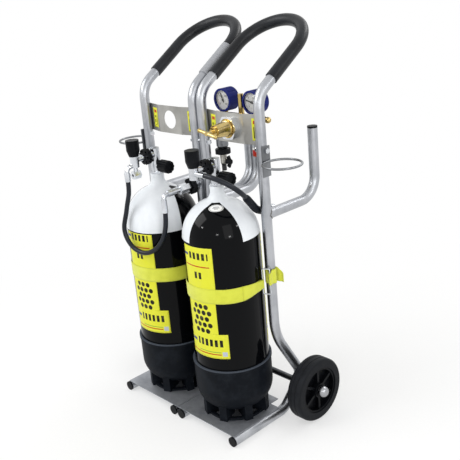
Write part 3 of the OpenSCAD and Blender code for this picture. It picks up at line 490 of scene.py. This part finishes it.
def band_route():
    """From the stitched end, round the buckle wire, round the cylinder's front and round the middle leg."""
    eye = round_cylinder(BAND_EYE_ANGLE, BAND_EYE_R)
    outward = BAND_EYE_ANGLE - 90
    folded = [round_cylinder(a, STRAP_R + STRAP_T) for a in (72, 84, 94)]
    lifted = [round_cylinder(102, STRAP_R + 2.6 * STRAP_T)]
    loop = plan_arc(eye, EYE_R, outward - 20, outward + 200, 8)
    seated = [round_cylinder(104, STRAP_R + 0.6)]
    front = [round_cylinder(98 - 7 * k, STRAP_R) for k in range(30)]
    leg = plan_arc(Vector((INNER_X, 0)), LEG_WRAP_R, -38, 238, 14)
    stitched = [round_cylinder(-107, STRAP_R + 2 * STRAP_T)]
    return folded + lifted + loop + seated + front + leg + stitched


def wrap_route():
    """From the loose tail round the outer leg, out to the buckle wire and back onto the leg."""
    leg = Vector((OUTER_X, 0))
    tail = [leg + r * Vector((math.cos(math.radians(a)), math.sin(math.radians(a))))
            for r, a in ((33, 33), (28, 41), (22, 42))]
    turn = plan_arc(leg, LEG_WRAP_R, 58, 285, 12)
    loop = plan_arc(WRAP_EYE, EYE_R, -140, 40, 6)
    back = plan_arc(leg, LEG_WRAP_R + STRAP_T, -25, 20, 4)
    return tail + turn + loop + back


def band_width(spot):
    """Share of the full width at a plan point of the band: the webbing is gathered in the buckle."""
    return min(1, 0.55 + (spot - round_cylinder(BAND_EYE_ANGLE, BAND_EYE_R)).length / 150)


def wrap_width(spot):
    """Share of the full width at a plan point of the wrap: the loose tail is bunched up."""
    return min(1, 1.45 - (spot - Vector((OUTER_X, 0))).length / 40)


def ribbon(name, route, side, z, material, width, droop):
    """Webbing along a plan route, with rounded edges, a little sway and a droop where it is narrow."""
    line = smooth([Vector((p.x, p.y, 0)) for p in route], 4)
    edge = STRAP_T / 2
    section = [(edge, -0.92), (edge, -0.4), (edge, 0.1), (edge, 0.55), (edge, 0.92), (edge * 0.5, 1),
               (-edge * 0.5, 1), (-edge, 0.92), (-edge, 0.55), (-edge, 0.1), (-edge, -0.4), (-edge, -0.92),
               (-edge * 0.5, -1), (edge * 0.5, -1)]
    rings, flats, run = [], [], 0.0
    for i, point in enumerate(line):
        way = (line[min(i + 1, len(line) - 1)] - line[max(i - 1, 0)]).normalized()
        out = Vector((way.y, -way.x, 0))
        if i > 0:
            run += (point - line[i - 1]).length
        share = width(point.xy)
        half = share * STRAP_W / 2
        lift = 0.6 * math.sin(run / 37) + 0.2 * math.sin(run / 11) - droop * (1 - share)
        ring = []
        for depth, height in section:
            spot = point + out * depth
            ring.append(place(side * spot.x, spot.y, z + lift + half * height))
            flats.append((run * MM, height * STRAP_W / 2 * MM))
        rings.append(ring if side > 0 else ring[::-1])
        if side < 0:
            flats[-len(section):] = flats[-len(section):][::-1]
    return skin(name, rings, material, flats)


def make_straps():
    material = webbing()
    for side, name in SIDES:
        band = ribbon(name + "_strap_band", band_route(), side, STRAP_Z, material, band_width, -6)
        wrap = ribbon(name + "_strap_wrap", wrap_route(), side, WRAP_Z, material, wrap_width, 22)
        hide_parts(name + "_strap")


make_straps()


# Labels: vinyl patches that follow the cylinders, drawn with plain dots, blocks and rules
LABEL_LOW = 227
LABEL_FOOT = 297
LABEL_WAIST = 404
LABEL_TOPS = {"left": 522, "right": 534}
FOOT_EDGES = (-24, 45)
WAIST_EDGES = (-22, 31)
HEAD_EDGES = (-21, 33)
REAR_EDGES = (-23, 23)
REAR_TURN = 148
LABEL_LIFT = 0.12
DOT_PITCH = 17
DOT_SHARE = 0.4
BLOCK_PITCH = 14
BLOCK_SHARE = 0.6
BLACK = colour("121210")
YELLOW = colour("D9DA36")
RED = colour("B5281E")
BLUE = colour("23377F")
GREEN = colour("6E9B3A")
PALE = colour("B6BECC")


def label_edges(z):
    """Left and right edge angles of a label at a height: a wide foot, a slim waist and a wider head."""
    if z < LABEL_FOOT:
        return FOOT_EDGES
    if z < LABEL_WAIST:
        return WAIST_EDGES
    return HEAD_EDGES


def block_row(finish, along, across, low, high):
    """Mask of a row of upright blocks inside a rectangle."""
    step = finish.calc("FRACT", finish.calc("DIVIDE", along, BLOCK_PITCH))
    inked = finish.calc("LESS_THAN", step, BLOCK_SHARE)
    return finish.calc("MULTIPLY", inked, finish.block(along, across, low, high))


def dot_field(finish, along, across, low, high):
    """Mask of staggered rows of round dots whose middles lie inside a rectangle; all sizes are in pitches."""
    row = finish.calc("DIVIDE", across, DOT_PITCH)
    stagger = finish.calc("MULTIPLY", finish.calc("MODULO", finish.calc("FLOOR", row), 2), 0.5)
    column = finish.calc("SUBTRACT", finish.calc("DIVIDE", along, DOT_PITCH), stagger)
    from_dot = [finish.calc("SUBTRACT", finish.calc("FRACT", value), 0.5) for value in (column, row)]
    dots = finish.calc("LESS_THAN", finish.length(*from_dot), DOT_SHARE)
    middle = finish.calc("ADD", finish.calc("FLOOR", column), finish.calc("ADD", stagger, 0.5))
    return finish.calc("MULTIPLY", dots, finish.block(middle, row, low, high))


def label_art(finish, along, across):
    """Yellow field with staggered dots, rows of blocks, thin coloured rules and a pale square."""
    inked = finish.either(
        dot_field(finish, along, across, (-1.3, 4), (2.3, 9)),
        block_row(finish, along, across, (-12, 34), (66, 54)),
        block_row(finish, along, across, (-14, 274), (46, 292)),
        block_row(finish, along, across, (-2, 222), (24, 240)),
    )
    base = finish.mix(inked, YELLOW, BLACK)
    for tone, low, high in (
        (RED, (-40, 10), (58, 13)),
        (GREEN, (-10, 17), (58, 19)),
        (RED, (-34, 254), (48, 257)),
        (BLUE, (-40, 38), (-20, 46)),
        (BLUE, (-38, 280), (-20, 287)),
        (PALE, (61, 7), (74, 20)),
    ):
        base = finish.mix(finish.block(along, across, low, high), base, tone)
    return base


def sheet_patch(name, grid, flats, material, lift):
    """Thin patch from a grid of points, given the way that each point is lifted off what carries it."""
    rows, columns = len(grid), len(grid[0])
    corners = [p for row in grid for p, _ in row]
    lifted = [p + way * lift for row in grid for p, way in row]
    faces = []
    for i in range(rows - 1):
        for k in range(columns - 1):
            a = i * columns + k
            faces.append((a, a + 1, a + columns + 1, a + columns))
    top = len(corners)
    rim = [*range(columns), *range(2 * columns - 1, top, columns),
           *range(top - 2, top - columns - 1, -1), *range(top - 2 * columns, 0, -columns)]
    upper = [tuple(top + v for v in face) for face in faces]
    walls = [(a, b, b + top, a + top) for a, b in zip(rim, rim[1:] + rim[:1])]
    mesh = bpy.data.meshes.new(name)
    mesh.from_pydata(corners + lifted, [], [f[::-1] for f in faces] + upper + walls)
    mesh.shade_smooth()
    layer = mesh.uv_layers.new(name="flat")
    for loop in mesh.loops:
        layer.data[loop.index].uv = flats[loop.vertex_index % top]
    return add_piece(name, mesh, material)


def cylinder_label(name, side, turn, material, high, edges=label_edges):
    """Label on a cylinder; turn moves it round the axis, in degrees."""
    columns = 24
    heights = [LABEL_LOW + (high - LABEL_LOW) * k / 60 for k in range(61)]
    for corner in (LABEL_FOOT, LABEL_WAIST):
        heights = sorted(heights + [corner - 0.2, corner + 0.2])
    grid, flats = [], []
    for z in heights:
        left, right = edges(z)
        row = []
        for k in range(columns + 1):
            angle = left + (right - left) * k / columns
            a = math.radians(angle + turn)
            way = Vector((math.sin(a), -math.cos(a), 0))
            row.append((place(side * MID_X + CYLINDER_R * way.x, CYLINDER_Y + CYLINDER_R * way.y, z), way))
            flats.append((math.radians(angle) * CYLINDER_R * MM, (z - LABEL_LOW) * MM))
        grid.append(row)
    return sheet_patch(name, grid, flats, material, LABEL_LIFT * MM)


def make_labels():
    vinyl = printed("label_vinyl", label_art)
    for side, name in SIDES:
        high = LABEL_TOPS[name]
        cylinder_label(name + "_front_label", side, 0, vinyl, high)
        cylinder_label(name + "_rear_label", side, REAR_TURN, vinyl, high, lambda z: REAR_EDGES)


make_labels()


# Small prints: an oval sticker on the right shoulder, patches on the panel wings, a colour mark on a hook
STICKER_ANGLE = math.radians(41)
STICKER_FALL = math.radians(30)
STICKER_HALF = (19, 12)


def disc_grid(steps):
    """Points of a unit disc, as a square grid drawn in to a circle."""
    line = [2 * k / steps - 1 for k in range(steps + 1)]
    return [[(u * math.sqrt(1 - v * v / 2), v * math.sqrt(1 - u * u / 2)) for u in line] for v in line]


def sticker_art(finish, along, across):
    """Pale oval with a thin ring and three short bars."""
    half_wide, half_high = STICKER_HALF
    rounded = finish.length(finish.calc("DIVIDE", along, half_wide), finish.calc("DIVIDE", across, half_high))
    ring = finish.within(rounded, 0.84, 0.9)
    bars = finish.either(*[finish.block(along, across, (-w, y), (w, y + 1.6))
                           for w, y in ((7, 2.6), (9, -0.8), (5, -4.2))])
    return finish.mix(finish.either(ring, bars), colour("F3F3F1"), colour("5A5C66"))


def shoulder_sticker():
    centre = Vector((MID_X, CYLINDER_Y, SHOULDER_Z))
    out = Vector((math.sin(STICKER_ANGLE), -math.cos(STICKER_ANGLE), 0))
    normal = math.sin(STICKER_FALL) * out + math.cos(STICKER_FALL) * Vector((0, 0, 1))
    across = Vector((math.cos(STICKER_ANGLE), math.sin(STICKER_ANGLE), 0))
    upward = normal.cross(across)
    grid, flats = [], []
    for row in disc_grid(16):
        line = []
        for u, v in row:
            a, b = u * STICKER_HALF[0], v * STICKER_HALF[1]
            way = (normal * CYLINDER_R + across * a + upward * b).normalized()
            line.append((place(*(centre + CYLINDER_R * way)), way))
            flats.append((a * MM, b * MM))
        grid.append(line)
    sheet_patch("shoulder_sticker", grid, flats, printed("sticker_vinyl", sticker_art), LABEL_LIFT * MM)


def wing_art(finish, along, across):
    """Yellow patch with a row of blocks, a dark bar and a red square."""
    dark = finish.either(
        block_row(finish, across, along, (-22, 12), (6, 18)),
        finish.block(along, across, (4, -22), (7, 6)),
    )
    base = finish.mix(dark, YELLOW, BLACK)
    return finish.mix(finish.block(along, across, (4, 14), (18, 22)), base, RED)


def wing_patch(name, side, wing, near, far, material):
    """Patch on a slanted panel wing, between two shares of the wing's width."""
    root = Vector((wing * PANEL_FLAT, -PANEL_T / 2))
    tip = Vector((wing * PANEL_END, WING_BACK - PANEL_T / 2))
    run = tip - root
    way = Vector((wing * run.y, -abs(run.x), 0)).normalized()
    half_height, columns, rows = 28, 6, 8
    width = (far - near) * run.length
    grid, flats = [], []
    for i in range(rows + 1):
        rise = half_height * (2 * i / rows - 1)
        line = []
        for k in range(columns + 1):
            spot = root + run * (near + (far - near) * k / columns)
            line.append((place(side * MID_X + spot.x, spot.y, PANEL_MID_Z + rise), way))
            flats.append((width * k / columns * MM, rise * MM))
        grid.append(line if wing > 0 else line[::-1])
        if wing < 0:
            flats[-columns - 1:] = flats[-columns - 1:][::-1]
    sheet_patch(name, grid, flats, material, 2 * LABEL_LIFT * MM)


def mark_art(finish, along, across):
    return finish.mix(finish.calc("GREATER_THAN", across, 7), RED, colour("ECECE8"))


def hook_mark():
    """Red and white colour mark on the front of an inner hook upright."""
    middle, half_height, spread = 684, 12, 40
    grid, flats = [], []
    for i in range(9):
        rise = half_height * (i / 4 - 1)
        line = []
        for k in range(9):
            a = math.radians(spread * (k / 4 - 1))
            way = Vector((math.sin(a), -math.cos(a), 0))
            line.append((place(INNER_X + TUBE_R * way.x, HOOK_REACH + TUBE_R * way.y, middle + rise), way))
            flats.append((a * TUBE_R * MM, rise * MM))
        grid.append(line)
    sheet_patch("hook_colour_mark", grid, flats, printed("mark_vinyl", mark_art), 2 * LABEL_LIFT * MM)


def make_prints():
    shoulder_sticker()
    vinyl = printed("wing_vinyl", wing_art)
    for side, name in SIDES:
        wing_patch(name + "_panel_left_patch", side, -1, 0.17, 0.62, vinyl)
        wing_patch(name + "_panel_right_patch", side, 1, 0.48, 0.88, vinyl)
    hook_mark()


make_prints()


# Tape on the left loop, weld beads and gauge numbers
TAPE_FROM = 57
TAPE_TO = 168
TAPE_TURN = 13
TAPE_RIB = 2.6


def handle_point(x, run):
    """Point on a handle's centre line, at a distance along it from its corner."""
    return place(x, run * math.cos(HANDLE_SLOPE), HANDLE_CORNER_Z + run * math.sin(HANDLE_SLOPE))


def grip_tape():
    """Grey ribbed tape wound round one leg of the left grip, each turn lapping the one below it."""
    steps = 400
    line = [handle_point(-INNER_X, TAPE_FROM + (TAPE_TO - TAPE_FROM) * k / steps) for k in range(steps + 1)]

    def radius(run):
        lap = 0.5 * ((run / MM / TAPE_TURN) % 1)
        rib = 0.14 * math.sin(2 * math.pi * run / MM / TAPE_RIB)
        return (GRIP_R + 0.4 + lap + rib) * MM

    tape = moulded("grey_tape", "96989C", "C0C2C6", (0.3, 0.5), 420, 0.1, gloss=0.4)
    skin("grip_tape", round_rings(line, radius, 32), tape)


def weld_bead(name, x, material):
    """Rippled bead where a hook arm meets its leg."""
    steps = 96
    line = []
    for k in range(steps):
        a = 2 * math.pi * k / steps
        rise = TUBE_R * math.sin(a)
        line.append(place(x + TUBE_R * math.cos(a), abs(rise) + 0.4, HOOK_Z + rise))
    ripple = 2.6 * MM

    def radius(run):
        return (1.5 + 0.3 * math.sin(2 * math.pi * run / ripple)) * MM

    skin(name, round_rings(line, radius, 8, closed=True), material, closed=True)


def gauge_numbers(side, numbers, material):
    """Numbers round a dial, from lower left over the top to lower right."""
    for i, number in enumerate(numbers):
        a = math.radians(-135 + 270 * i / (len(numbers) - 1))
        data = bpy.data.curves.new(f"gauge_number_{number}", "FONT")
        data.body = str(number)
        data.size = 6 * MM
        data.extrude = 0.05 * MM
        data.align_x = data.align_y = "CENTER"
        piece = add_piece(f"{side}_gauge_number_{i}", data, material)
        middle = MID_X + (GAUGE_OFFSET if side == "low" else -GAUGE_OFFSET)
        r = 0.58 * DIAL_R
        spot = place(middle + r * math.sin(a), DIAL_Y - 0.1, GAUGE_Z + r * math.cos(a))
        piece.matrix_world = Matrix.Translation(spot) @ Matrix.Rotation(math.pi / 2, 4, "X")


def make_trim():
    grip_tape()
    bead = metal("weld_bead", "8C8B88", "5E5A55", (0.35, 0.6), 300)
    for name, x in (("left_outer", -OUTER_X), ("left_inner", -INNER_X), ("right_inner", INNER_X),
                    ("right_outer", OUTER_X)):
        weld_bead(name + "_weld", x, bead)
    ink = moulded("dial_ink", "17171A", "3A3A3E", (0.4, 0.6), 900, 0.01)
    gauge_numbers("high", (0, 100, 200, 300), ink)
    gauge_numbers("low", (0, 5, 10, 15), ink)


make_trim()


# Finishes of the solids
def tyre_rubber():
    """Black rubber with moulded rings on its flanks and dust on its tread."""
    finish = Finish("tyre_rubber", specular_ior_level=0.15)
    _, along, up = finish.split(finish.place(shift=tuple(-place(0, AXLE_Y, AXLE_Z))))
    from_axle = finish.length(along, up)
    rings = finish.calc("SINE", finish.calc("MULTIPLY", from_axle, 1100))
    grit = finish.noise(700, 3)
    dust = finish.noise(35, 5, 0.7)
    tread = finish.span(from_axle, (WHEEL_R - 5) * MM, WHEEL_R * MM, 0.1, 0.45)
    dusty = finish.calc("MULTIPLY", finish.span(dust, 0.35, 0.75), tread)
    finish.sets(
        base_color=finish.mix(dusty, colour("101216"), colour("34363B")),
        roughness=finish.span(dust, 0.3, 0.75, 0.5, 0.72),
        normal=finish.bump(finish.calc("ADD", grit, finish.calc("MULTIPLY", rings, 0.6)), 0.18, 0.5,
                           finish.edge_normal(0.8)),
    )
    return finish.material


def boot_rubber():
    """Dull grey-black rubber, paler at scuffed places, with a painted highlight along the moulded lip."""
    finish = Finish("boot_rubber", specular_ior_level=0.08)
    up = finish.split(finish.place())[2]
    skin_grain = finish.noise(380, 2)
    dust = finish.noise(20, 5, 0.7)
    # The pale band just below the boot's top is a painted highlight on the lip; the dust adds paler patches.
    lip_highlight = finish.span(up, (BOOT_TOP_Z - 3) * MM, (BOOT_TOP_Z - 1) * MM)
    shade = finish.either(lip_highlight, finish.span(dust, 0.45, 0.85, 0, 0.2))
    finish.sets(
        base_color=finish.mix(shade, colour("0C1016"), colour("4A5059")),
        roughness=finish.span(dust, 0.3, 0.75, 0.45, 0.65),
        normal=finish.bump(skin_grain, 0.2, 0.5, finish.edge_normal(1.2)),
    )
    return finish.material


def grip_rubber():
    """Soft black sleeve with fine ridges and a dull sheen."""
    finish = Finish("grip_rubber", specular_ior_level=0.3)
    grain = finish.noise(260, 4, 0.6)
    wear = finish.noise(18, 5, 0.65)
    finish.sets(
        base_color=finish.mix(finish.span(wear, 0.4, 0.75), colour("0B0D11"), colour("1A1E24")),
        roughness=finish.span(wear, 0.3, 0.7, 0.28, 0.46),
        normal=finish.bump(grain, 0.15, 0.5, finish.edge_normal(0.6)),
    )
    return finish.material


def dial_face():
    """White dial with a scale ring, ticks and a coloured arc."""
    finish = Finish("dial_face", roughness=0.45)
    x, _, z = finish.split(finish.place(shift=tuple(-place(MID_X, 0, GAUGE_Z))))
    side = finish.calc("SUBTRACT", finish.calc("ABSOLUTE", x), GAUGE_OFFSET * MM)
    r = finish.length(side, z)
    turn = finish.calc("MULTIPLY", finish.calc("ARCTAN2", side, z), 180 / math.pi)
    on_scale = finish.within(turn, -136, 136)
    minor = finish.calc("LESS_THAN", finish.calc("PINGPONG", turn, 4.5), 0.9)
    major = finish.calc("LESS_THAN", finish.calc("PINGPONG", turn, 22.5), 1.2)
    ticks = finish.either(
        finish.calc("MULTIPLY", minor, finish.within(r, 0.8 * DIAL_R * MM, 0.9 * DIAL_R * MM)),
        finish.calc("MULTIPLY", major, finish.within(r, 0.74 * DIAL_R * MM, 0.9 * DIAL_R * MM)),
        finish.within(r, 0.89 * DIAL_R * MM, 0.915 * DIAL_R * MM),
    )
    arc_band = finish.within(r, 0.69 * DIAL_R * MM, 0.73 * DIAL_R * MM)
    arc = finish.calc("MULTIPLY", finish.within(turn, 90, 136), arc_band)
    age = finish.noise(60, 5, 0.6)
    card = finish.mix(finish.span(age, 0.4, 0.8), colour("F4F4F2"), colour("E2E1DC"))
    inked = finish.mix(finish.calc("MULTIPLY", ticks, on_scale), card, BLACK)
    finish.sets(
        base_color=finish.mix(arc, inked, RED),
        roughness=finish.span(age, 0.3, 0.7, 0.35, 0.55),
    )
    return finish.material


def clear_lens():
    finish = Finish("clear_lens", transmission_weight=1.0, ior=1.1)
    haze = finish.noise(80, 4)
    finish.sets(roughness=finish.span(haze, 0.4, 0.8, 0.0, 0.06))
    return finish.material


def plugged_metal():
    """Plated bleed body whose lower plug is black plastic."""
    finish = Finish("plugged_metal")
    _, _, up = finish.split(finish.place())
    plated = finish.calc("GREATER_THAN", up, DUST_PLUG_TOP_Z * MM)
    patches = finish.noise(90, 5, 0.6)
    bare = finish.mix(finish.span(patches, 0.4, 0.7), colour("B9B7B0"), colour("8A877F"))
    finish.sets(
        base_color=finish.mix(plated, colour("151517"), bare),
        metallic=plated,
        roughness=finish.span(patches, 0.3, 0.7, 0.2, 0.42),
        normal=finish.edge_normal(0.4),
    )
    return finish.material


def dress_nodes():
    """Gives each solid its finish."""
    tube = metal("satin_tube", "BEC0C4", "989BA0", (0.3, 0.42), (260, 260, 16))
    sheet = metal("satin_sheet", "B6B5B0", "94938F", (0.3, 0.46), (30, 420, 420))
    plate = metal("toe_sheet", "B4B7BC", "8C8F95", (0.5, 0.66), (420, 26, 420))
    bright = metal("bright_plate", "E3E6EA", "B2B5BA", (0.08, 0.22), 260)
    dull = metal("dull_steel", "74767A", "4C4E52", (0.34, 0.55), (24, 420, 420))
    brass = metal("brass", "CDB67A", "98803F", (0.14, 0.32), 240)
    zinc = metal("zinc_plate", "B4B5B8", "7E8084", (0.18, 0.34), 260)
    grey = metal("nickel_grey", "8E9093", "626467", (0.28, 0.46), 240)
    bronze = metal("bronze_bush", "B08A4E", "7D5C2E", (0.3, 0.5), 240)
    black = moulded("black_plastic", "07090C", "33363C", (0.3, 0.5), 700, 0.06)
    rim = moulded("rim_plastic", "06070A", "24272E", (0.34, 0.55), 600, 0.08)
    blue = moulded("blue_rubber", "141D62", "3F4C98", (0.4, 0.6), 420, 0.12)
    needle = moulded("needle_black", "141414", "3C3C3C", (0.35, 0.5), 900, 0.01, 0.1)
    finishes = {
        tube: "left_hoop right_hoop left_hook_arms right_hook_arms",
        sheet: "left_panel right_panel axle_lugs",
        plate: "left_toe_plate right_toe_plate",
        zinc: "axle_dome_nuts",
        bright: "frame_bolts strap_buckles left_valve right_valve left_connector"
                " right_connector parked_connector parking_fittings right_hose_end regulator_ring_nut",
        dull: "axle axle_spacers",
        brass: "regulator_body regulator_bonnet tee_screw",
        grey: "inlet_coupling left_ring_holder right_ring_holder",
        bronze: "left_hub_bush right_hub_bush",
        black: "tube_end_plugs left_valve_knob right_valve_knob left_connector_wheel right_connector_wheel"
               " left_shutoff_knob right_shutoff_knob parked_wheel inlet_wheel wing_knob",
        rim: "left_rim right_rim",
        boot_rubber(): "left_boot right_boot",
        blue: "gauge_boots",
        needle: "high_pointer low_pointer",
        tyre_rubber(): "left_tyre right_tyre",
        grip_rubber(): "left_grip right_grip",
        dial_face(): "gauge_dials",
        clear_lens(): "gauge_lenses",
        plugged_metal(): "bleed_body",
        **{cylinder_paint(name, side): name + "_cylinder" for side, name in SIDES},
    }
    for finish, names in finishes.items():
        for name in names.split():
            nodes[name].data.materials.clear()
            nodes[name].data.materials.append(finish)


dress_nodes()


# Pale floor, soft lights and a white surround
def make_floor():
    """Pale floor that shows the object's shadow near it and fades to white further out."""
    half = 60
    mesh = bpy.data.meshes.new("floor")
    corners = [(-half, -half, 0), (half, -half, 0), (half, half, 0), (-half, half, 0)]
    mesh.from_pydata(corners, [], [(0, 1, 2, 3)])
    finish = Finish("floor_paper", roughness=0.9, specular_ior_level=0.0)
    here = finish.place()
    reach = finish.node("ShaderNodeVectorMath", {0: here}, operation="LENGTH").outputs["Value"]
    grain = finish.noise(140, 3)
    finish.sets(base_color=finish.mix(finish.span(grain, 0.3, 0.7), colour("F4F4F3"), colour("F0F0EF")))
    rays = finish.node("ShaderNodeLightPath").outputs
    seen = finish.either(rays["Is Camera Ray"], rays["Is Glossy Ray"], rays["Is Transmission Ray"])
    glow = finish.node("ShaderNodeEmission", {"Color": (1, 1, 1, 1), "Strength": 1.0}).outputs[0]
    fade = finish.calc("MULTIPLY", seen, finish.span(reach, 0.5, 1.4, 0.5, 1))
    blend = finish.node("ShaderNodeMixShader", {0: fade, 1: finish.shader.outputs[0], 2: glow})
    finish.tree.links.new(blend.outputs[0], finish.tree.nodes["Material Output"].inputs["Surface"])
    floor = bpy.data.objects.new("floor", mesh)
    mesh.materials.append(finish.material)
    bpy.context.scene.collection.objects.link(floor)


def make_light(name, spot, aim, size, power):
    data = bpy.data.lights.new(name, "AREA")
    data.shape = "RECTANGLE"
    data.size, data.size_y = size
    data.energy = power
    light = bpy.data.objects.new(name, data)
    light.location = spot
    light.rotation_mode = "QUATERNION"
    light.rotation_quaternion = (Vector(aim) - Vector(spot)).to_track_quat("-Z", "Y")
    bpy.context.scene.collection.objects.link(light)


def make_world():
    """Soft grey light on the object, with a white surround where it is seen or mirrored."""
    world = bpy.data.worlds.new("studio")
    bpy.context.scene.world = world
    world.use_nodes = True
    tree = world.node_tree
    rays = tree.nodes.new("ShaderNodeLightPath").outputs
    seen = None
    for ray in ("Is Camera Ray", "Is Glossy Ray", "Is Transmission Ray"):
        larger = tree.nodes.new("ShaderNodeMath")
        larger.operation = "MAXIMUM"
        tree.links.new(rays[ray], larger.inputs[0])
        if seen is not None:
            tree.links.new(seen, larger.inputs[1])
        seen = larger.outputs[0]
    level = tree.nodes.new("ShaderNodeMapRange")
    level.inputs["To Min"].default_value = 0.5
    tree.links.new(seen, level.inputs["Value"])
    back = tree.nodes["Background"]
    back.inputs["Color"].default_value = (1, 1, 1, 1)
    tree.links.new(level.outputs[0], back.inputs["Strength"])


# Small lamps that glint on the gloss paint
GLINT_SPOTS = [(-0.48, -2.14, 1.81), (1.55, -1.98, 1.34), (2.48, -0.82, 0.94), (2.2, 0.51, 1.76)]


def make_stage():
    make_floor()
    middle = (0, 0, 0.5)
    make_light("key", (-1.3, -1.7, 2.4), middle, (1.4, 1.4), 31)
    make_light("fill", (2.4, -0.9, 1.6), middle, (1.2, 1.8), 10)
    make_light("back", (0.4, 2.2, 2.2), middle, (1.6, 0.8), 16)
    for k, spot in enumerate(GLINT_SPOTS):
        make_light(f"glint_{k}", spot, middle, (0.2, 0.12), 3.5)
    make_world()
    bpy.context.scene.view_settings.view_transform = "Standard"


make_stage()
